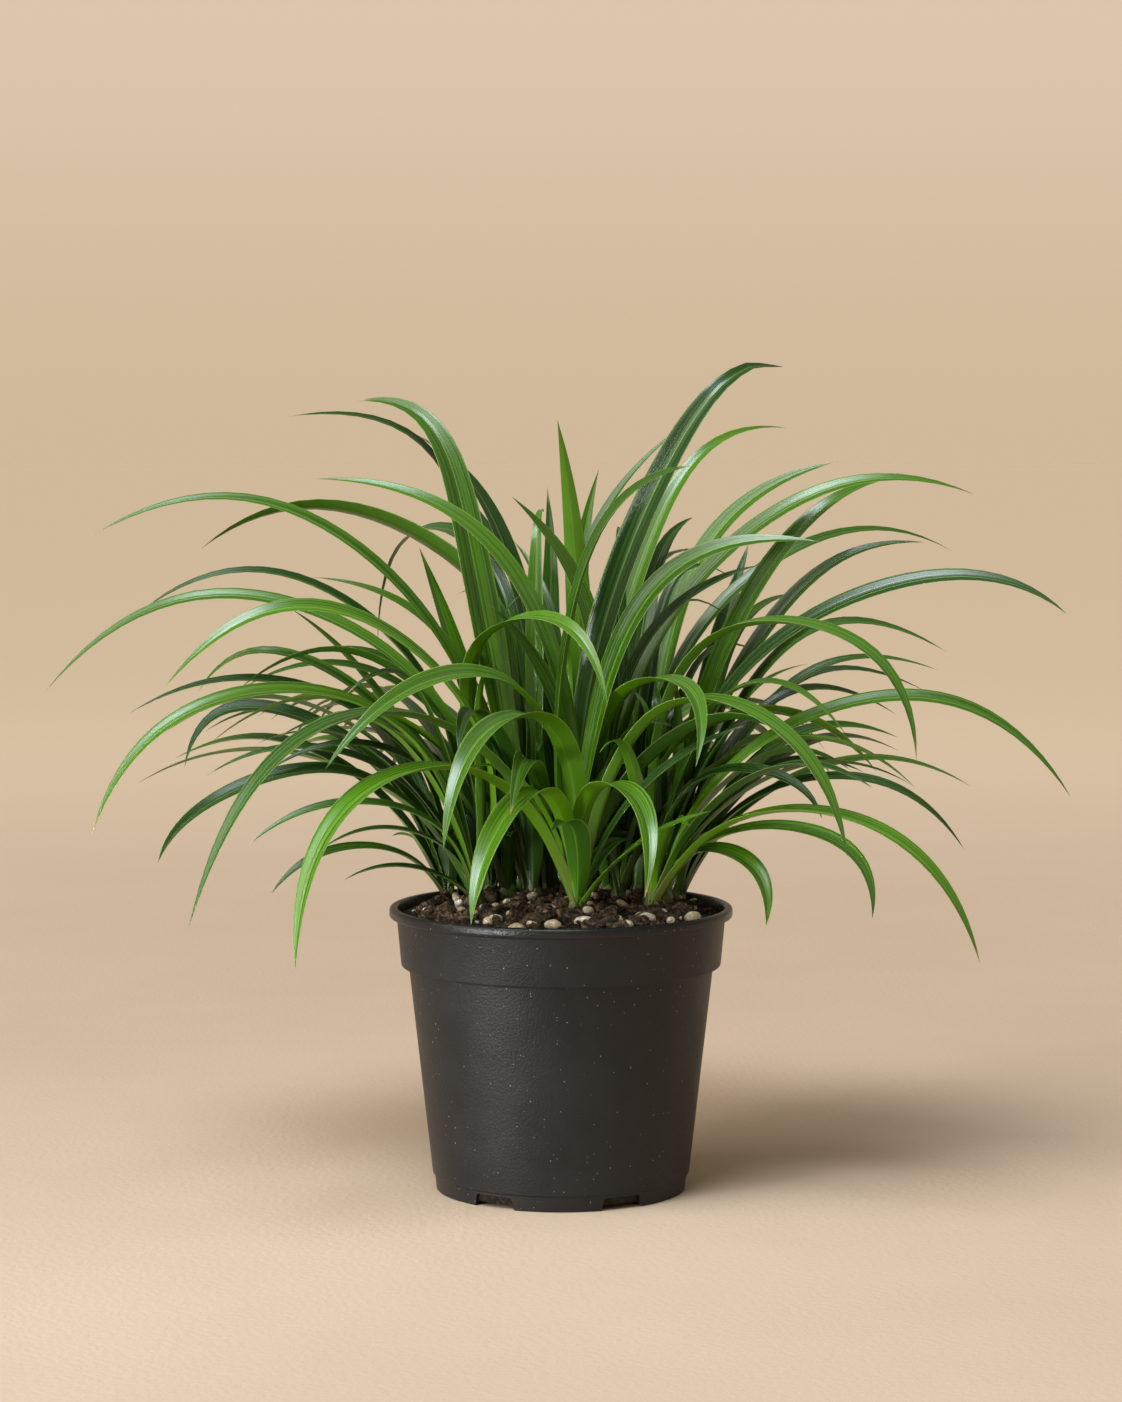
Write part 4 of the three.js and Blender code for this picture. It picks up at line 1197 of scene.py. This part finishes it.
swept = geo(blade, "CurveToMesh", {
    "Curve": rails, "Profile Curve": section, "Scale": breadth, "Fill Caps": True})
base_part = ramp(blade, carried("along"), CLASPING, 0.0)
flesh = times(blade, carried("upper"), times(blade, base_part, given["Base Flesh"]))
wing = times(blade, math_node(blade, "ABSOLUTE", carried("across")), breadth)
lift = plus(blade, flesh, wing, times(blade, base_part, given["Base Fold"]))
fleshy = geo(blade, "SetPosition", {
    "Geometry": swept, "Offset": vector_node(blade, "SCALE", {0: facing, 3: lift})[0]})
smooth = geo(blade, "SetShadeSmooth", {"Geometry": fleshy})
end_tree(blade, geo(blade, "RealizeInstances", {"Geometry": smooth}), given, result)

# %% Leaf lines as edges
LINE_POINTS = 34
TIP_WIDTH = 0.04  # mm, half the width that a leaf's last section keeps
FULLER = 1.1  # the fine leaf over the plain one, whose facets cut its margins
WAVY = 0.025  # share of the width by which a margin wanders
BASE_SHARE, BASE_TO = 0.48, 0.3  # of the full width, kept up to this share of the length
SLIM = ((0.06, 0.42), (0.76, 1))  # shares of the length, and how slim the fine leaf is there
EDGE_ROOM = 0.1  # mm that a leaf's midline keeps from the sides of the frame's box
CREST_ROOM = 2.4  # mm that it keeps from the top, for its raised margins
BOX_LOW = np.array(CAD_BOX[0]) / MM + [EDGE_ROOM, EDGE_ROOM, 0]
BOX_HIGH = np.array(CAD_BOX[1]) / MM - [EDGE_ROOM, EDGE_ROOM, CREST_ROOM]


def carry(mesh, name, rows, kind="FLOAT"):
    """Puts a value on each point of a mesh."""
    attribute = mesh.attributes.new(name, kind, "POINT")
    field = "vector" if kind == "FLOAT_VECTOR" else "value"
    attribute.data.foreach_set(field, np.array(rows, np.float32).ravel())


def leaf_lines(name, own, random):
    """One mesh of edges for a shoot's leaves, with the values that the blade tree reads."""
    share = np.linspace(0, 1, LINE_POINTS)
    points, edges, faces, values = [], [], [], {"half": [], "along": [], "tone": [], "rank": []}
    for leaf in own:
        centre, _, _, face = leaf.frame(share)
        swing = random.uniform(1.5, 3) * share + random.uniform()
        wave = FULLER + WAVY * np.sin(2 * math.pi * swing)
        breadth = np.maximum(leaf.half_width(share) * np.interp(share, *SLIM),
                             0.5 * BASE_SHARE * leaf.width * (share < BASE_TO))
        start = len(points)
        points += np.clip(centre, BOX_LOW, BOX_HIGH).tolist()
        edges += [(start + n, start + n + 1) for n in range(LINE_POINTS - 1)]
        faces += face.tolist()
        values["half"] += (np.maximum(breadth * wave, TIP_WIDTH) * MM).tolist()
        values["along"] += share.tolist()
        values["tone"] += [random.uniform()] * LINE_POINTS
        values["rank"] += [random.uniform()] * LINE_POINTS
    lines = make_object(name, points, [], edges)
    carry(lines.data, "face", faces, "FLOAT_VECTOR")
    for key, rows in values.items():
        carry(lines.data, key, rows)
    return lines


# %% [markdown]
# ## Leaf finish
#
# The upper face is a deep waxy green with fine parallel veins, a pale midrib line and a paler hair
# line at each margin. The under face is duller and yellower. A leaf is yellow-green where it leaves
# the sheath, with a brown-purple tint at the very foot, and a few old leaves have a straw tip. Deep
# inside the clump, where hardly any light comes in, the green is painted darker: painted shade.

# %% What a leaf's mesh carries
leaf_green, tree, shader, place = new_material("leaf_green")


def attribute(tree, name):
    """A value that the mesh carries."""
    return put(tree, "ShaderNodeAttribute", attribute_name=name).outputs["Fac"]


across, upper, along, tone, rank = (
    attribute(tree, name) for name in ("across", "upper", "along", "tone", "rank"))
PER_LEAF = 60.0  # how far apart the noise is read for two leaves of unlike tone


def drawn_out(per_half, stretch):
    """Noise in streaks along the leaf, about so many to half its width."""
    at = combine(tree, X=times(tree, across, per_half), Y=times(tree, along, stretch),
                 Z=times(tree, tone, PER_LEAF))
    return noise(tree, at, 1.0, 1.0)["Fac"]


veins, bands = drawn_out(12.0, 1.3), drawn_out(2.6, 1.0)
cloud = use_group(tree, mottle, place, Scale=16.0, Sharpness=0.5)["Mask"]
middle = math_node(tree, "ABSOLUTE", across)
fresh = ramp(tree, tone, 0.15, 0.9)
dull = ramp(tree, upper, 0.15, -0.15)

# %% Painted shade deep inside the clump
# Metres from the axis, to the back and upwards, between which the painted shade sets in.
INNER_RADIUS, INNER_BACK, INNER_TOP = (0.115, 0.07), (-0.016, 0.026), (0.3, 0.19)

spot = split(tree, place)
from_axis = math_node(tree, "SQRT", math_node(
    tree, "MULTIPLY_ADD", spot["X"], spot["X"], times(tree, spot["Y"], spot["Y"])))
painted_shade_deep_in = times(tree, ramp(tree, from_axis, *INNER_RADIUS), ramp(tree, spot["Y"], *INNER_BACK))
painted_shade_deep_in = times(tree, painted_shade_deep_in, ramp(tree, spot["Z"], *INNER_TOP))

# %% Leaf colour
deep = blend_colours(tree, fresh, (0.005, 0.026, 0.003), (0.022, 0.085, 0.002))
bright = blend_colours(tree, fresh, (0.022, 0.096, 0.003), (0.108, 0.275, 0.002))
under = blend_colours(tree, fresh, (0.027, 0.112, 0.003), (0.106, 0.285, 0.002))
green = wash(tree, deep, ramp(tree, veins, 0.44, 0.64), 0.7, bright)
green = wash(tree, green, ramp(tree, bands, 0.45, 0.68), 0.35, bright)
green = blend_colours(tree, dull, wash(tree, green, cloud, 0.2, bright), under)

margin = times(tree, ramp(tree, middle, 0.92, 0.98), 0.75)
young = times(tree, ramp(tree, along, 0.5, 0.08), plus(tree, 0.25, fresh, 0.6))
foot = times(tree, ramp(tree, along, 0.2, 0.03), ramp(tree, rank, 0.1, 0.7))
old = times(tree, ramp(tree, along, 0.955, 0.99), ramp(tree, rank, 0.62, 0.66))
for mask, strength, colour in (
        (ramp(tree, middle, 0.075, 0.025), 0.45, (0.19, 0.38, 0.05)),  # midrib
        (margin, 1.0, (0.27, 0.42, 0.08)),
        (young, 1.0, (0.112, 0.290, 0.003)),
        (foot, 0.6, (0.125, 0.072, 0.035)),
        # painted shade: the green is darkened deep inside the clump
        (painted_shade_deep_in, 0.7, (0.004, 0.012, 0.002)),
        (old, 1.0, (0.34, 0.27, 0.10))):
    green = wash(tree, green, mask, strength, colour)

# %% Leaf sheen and relief
rough = plus(tree, plus(tree, 0.2, veins, 0.16), dull, 0.12)
fill(tree, shader, {"Base Color": green, "Roughness": plus(tree, rough, margin, 0.4),
                    "Specular IOR Level": 0.66})
rib_normal = add_relief(tree, shader, ramp(tree, middle, 0.0, 0.12), 0.1 * MM)
add_relief(tree, shader, veins, 0.14 * MM, strength=0.5, below=rib_normal)

# %% [markdown]
# ## Sheaths
#
# At the soil each shoot is a flattened stalk of leaf bases that wrap one another. A loft of ovals with
# a few low ribs gives the stalk. The frame's stalk sets its size.

# %% Sheath material
sheath_skin, tree, shader, place = new_material("sheath_skin")
height = attribute(tree, "along")
streak_at = put(tree, "ShaderNodeMapping", {"Vector": place, "Scale": (900.0, 900.0, 60.0)}).outputs[0]
streaks = noise(tree, streak_at, 1.0, 3.0)["Fac"]
pale = blend_colours(tree, height, (0.15, 0.16, 0.045), (0.09, 0.20, 0.02))
flushed = times(tree, ramp(tree, streaks, 0.42, 0.68), ramp(tree, height, 1.0, 0.2))
fill(tree, shader, {"Base Color": blend_colours(tree, flushed, pale, (0.10, 0.042, 0.032)),
                    "Roughness": 0.42})
add_relief(tree, shader, streaks, 0.3 * MM)

# %% Sheath loft
STALK_SIDES = 28
STALK_RIBS, RIB_DEPTH = 5, 0.05
ANY_TURN = 6.28
STATIONS = [  # mm over the soil, and the share of the full size
    (-SHEATH["sunk"], 0.84), (-4, 0.93), (0, 0.97), (3, 0.96), (5, 0.88), (7, 0.76), (9, 0.6),
    (10.3, 0.44), (SHEATH["height"], 0.2)]


def make_stalk(shoot, random):
    """A shoot's stalk as an object that carries its height."""
    x, y = shoot["at"]
    turn, sides = math.radians(shoot["turn"]), STALK_SIDES
    phase, points, heights = random.uniform(0, ANY_TURN), [], []
    for rise, scale in STATIONS:
        for side in range(sides):
            angle = 2 * math.pi * side / sides
            rib = 1 - RIB_DEPTH * (1 + math.cos(STALK_RIBS * angle + phase)) / 2
            u = SHEATH["long"] * scale * rib * math.cos(angle)
            v = SHEATH["short"] * scale * rib * math.sin(angle)
            points.append([x + u * math.cos(turn) - v * math.sin(turn),
                           y + u * math.sin(turn) + v * math.cos(turn), shoot["base"] + rise])
            heights.append(max(rise, 0) / SHEATH["height"])
    top = range(len(points) - sides, len(points))
    caps = [list(range(sides))[::-1], list(top)]
    stalk = make_object("stalk", points, ring_faces(len(STATIONS), sides) + caps)
    carry(stalk.data, "along", heights)
    shade(stalk.data)
    return stalk


# %% Shoots: blades and stalk in one piece
SHAPE = {"Fold": 0.4, "Thickness": 0.06, "Base_Flesh": 0.5 * MM, "Base_Fold": 0.6, "Around": 20}
FIRST_SEED = 100


def join(name, parts, materials):
    """One object from several meshes, each with its own material."""
    work = bmesh.new()
    for order, part in enumerate(parts):
        start = len(work.faces)
        work.from_mesh(part.data)
        work.faces.ensure_lookup_table()
        for face in work.faces[start:]:
            face.material_index = order
        bpy.data.objects.remove(part)
    bmesh.ops.recalc_face_normals(work, faces=work.faces)
    mesh = bpy.data.meshes.new(name)
    work.to_mesh(mesh)
    work.free()
    for material in materials:
        mesh.materials.append(material)
    return add_object(name, mesh)


shoot_pieces = {}
for order, shoot in enumerate(SHOOTS):
    random = np.random.default_rng(FIRST_SEED + order)
    own = [leaf for leaf in leaves if leaf.shoot is shoot]
    lines = leaf_lines("leaf_lines", own, random)
    blades = grow(lines, f"blades_{order + 1:02d}", blade, Finish=leaf_green, **SHAPE)
    bpy.data.objects.remove(lines)
    node = f"shoot_{order + 1:02d}"
    parts = [blades, make_stalk(shoot, random)]
    shoot_pieces[node] = join(f"leafy_{node}", parts, [leaf_green, sheath_skin])
print("leaf faces:", sum(len(piece.data.polygons) for piece in shoot_pieces.values()))

# %% [markdown]
# ## Floor and light
#
# The floor and the background share one pale warm tone, so that nothing competes with the plant. A
# very broad sun stands to the left and in front, so its shadows are soft. A square lamp high over the
# front gives the arching leaves their sheen, and a small narrow one, low on the left, shows the
# turn of the pot's side.

# %% Tone
bpy.context.scene.view_settings.view_transform = "Standard"

# %% Floor
# Painted light: the floor is painted darker near the pot, where the lamps light it most, and lighter far
# off, where their light has faded, so that it looks evenly lit and meets the background at the horizon.
NEAR_FLOOR_PAINTED_DARKER = ((0.575, 0.448, 0.34), (0.62, 0.485, 0.37))
FAR_FLOOR_PAINTED_LIGHTER = (0.920, 0.765, 0.600)
NEAR_TO, FAR_FROM = 0.4, 3.0  # metres from the pot, between which the floor takes its far tone
FLOOR_REACH = 60000  # mm, so far out that its edge lies on the horizon

corners = [[x * FLOOR_REACH, y * FLOOR_REACH, 0] for x, y in ((-1, -1), (1, -1), (1, 1), (-1, 1))]
floor = make_object("floor", corners, [[0, 1, 2, 3]])
floor_plaster, tree, shader, place = new_material("floor_plaster")
patches = use_group(tree, mottle, place, Scale=3.0, Sharpness=0.4)["Mask"]
sand = use_group(tree, grain, place, Scale=260.0, Fleck_Scale=90.0, Fleck_Size=0.2)["Height"]
close_by = ramp(tree, vector_node(tree, "LENGTH", {0: place})["Value"], FAR_FROM, NEAR_TO)
near_tone = blend_colours(tree, patches, *NEAR_FLOOR_PAINTED_DARKER)
# painted light: the far tone is lighter and the near tone darker, against the lamps' fall-off
fill(tree, shader, {"Base Color": blend_colours(tree, close_by, FAR_FLOOR_PAINTED_LIGHTER, near_tone),
                    "Roughness": 1.0, "Specular IOR Level": 0.0})
add_relief(tree, shader, times(tree, sand, close_by), 0.5 * MM)
floor.data.materials.append(floor_plaster)

# %% Lamps
PLANT_MIDDLE, POT_LOW = (0, 0, 0.27), (0, 0, 0.06)


def add_lamp(name, kind, place, aim, **settings):
    """A lamp at a place, turned towards another. The camera doesn't see a square one."""
    data = bpy.data.lights.new(name, kind)
    for key, value in settings.items():
        setattr(data, key, value)
    lamp = add_object(name, data)
    lamp.visible_camera = kind != "AREA"
    lamp.location = place
    x, y, z = np.array(aim, float) - np.array(place, float)
    lamp.rotation_euler = (math.atan2(math.hypot(x, y), -z), 0, math.atan2(y, x) - math.pi / 2)


add_lamp("day_light", "SUN", (-1.25, -0.75, 1.25), PLANT_MIDDLE,
         angle=math.radians(55), energy=1.85, color=(1.0, 0.95, 0.88))
add_lamp("sheen_lamp", "AREA", (-0.35, -0.75, 1.9), PLANT_MIDDLE,
         size=0.8, spread=math.radians(180), energy=30, color=(0.84, 0.93, 1.0))
add_lamp("pot_lamp", "AREA", (-1.2, -1.05, 0.16), POT_LOW,
         size=0.3, spread=math.radians(24), energy=0.5, color=(0.96, 0.98, 1.0))

# %% [markdown]
# Behind the plant the floor runs into a background of its own tone, which grows a little lighter
# upwards. What lights the plant is dimmer than what is seen behind it, as in a studio whose side
# walls stand far off, so the shade among the leaves stays deep.

# %% Background
HORIZON, WALL = (0.634, 0.481, 0.328), (0.72, 0.56, 0.41)
ROOM_SIDE, ROOM_TOP = (0.37, 0.30, 0.22), (0.36, 0.32, 0.26)

world = bpy.data.worlds.new("studio")
world.use_nodes = True
sky = world.node_tree
up = split(sky, put(sky, "ShaderNodeTexCoord").outputs["Generated"])["Z"]
seen = put(sky, "ShaderNodeLightPath").outputs["Is Camera Ray"]
room_colour = blend_colours(sky, ramp(sky, up, 0.15, 0.4), ROOM_SIDE, ROOM_TOP)
wall_colour = blend_colours(sky, ramp(sky, up, 0.0, 0.13), HORIZON, WALL)
fill(sky, sky.nodes["Background"], {"Color": blend_colours(sky, seen, room_colour, wall_colour)})
bpy.context.scene.world = world

# %% [markdown]
# ## Hand the pieces to the frame
#
# Each piece rides on the frame's one body, and the frame's solid that it stands for is hidden. The
# loose litter rides on the body too, and hides no solid.

# %% Ride and replace
finished = {
    "pot": (pot, "pot"), "soil": (soil, "soil"),
    **{node: (piece, "stone") for node, piece in stones.items()},
    **{node: (piece, "leaf") for node, piece in shoot_pieces.items()},
}
for node, (piece, slot) in finished.items():
    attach(piece, "root")
    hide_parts(node)
for name, piece in strewn_pieces.items():
    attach(piece, "root")
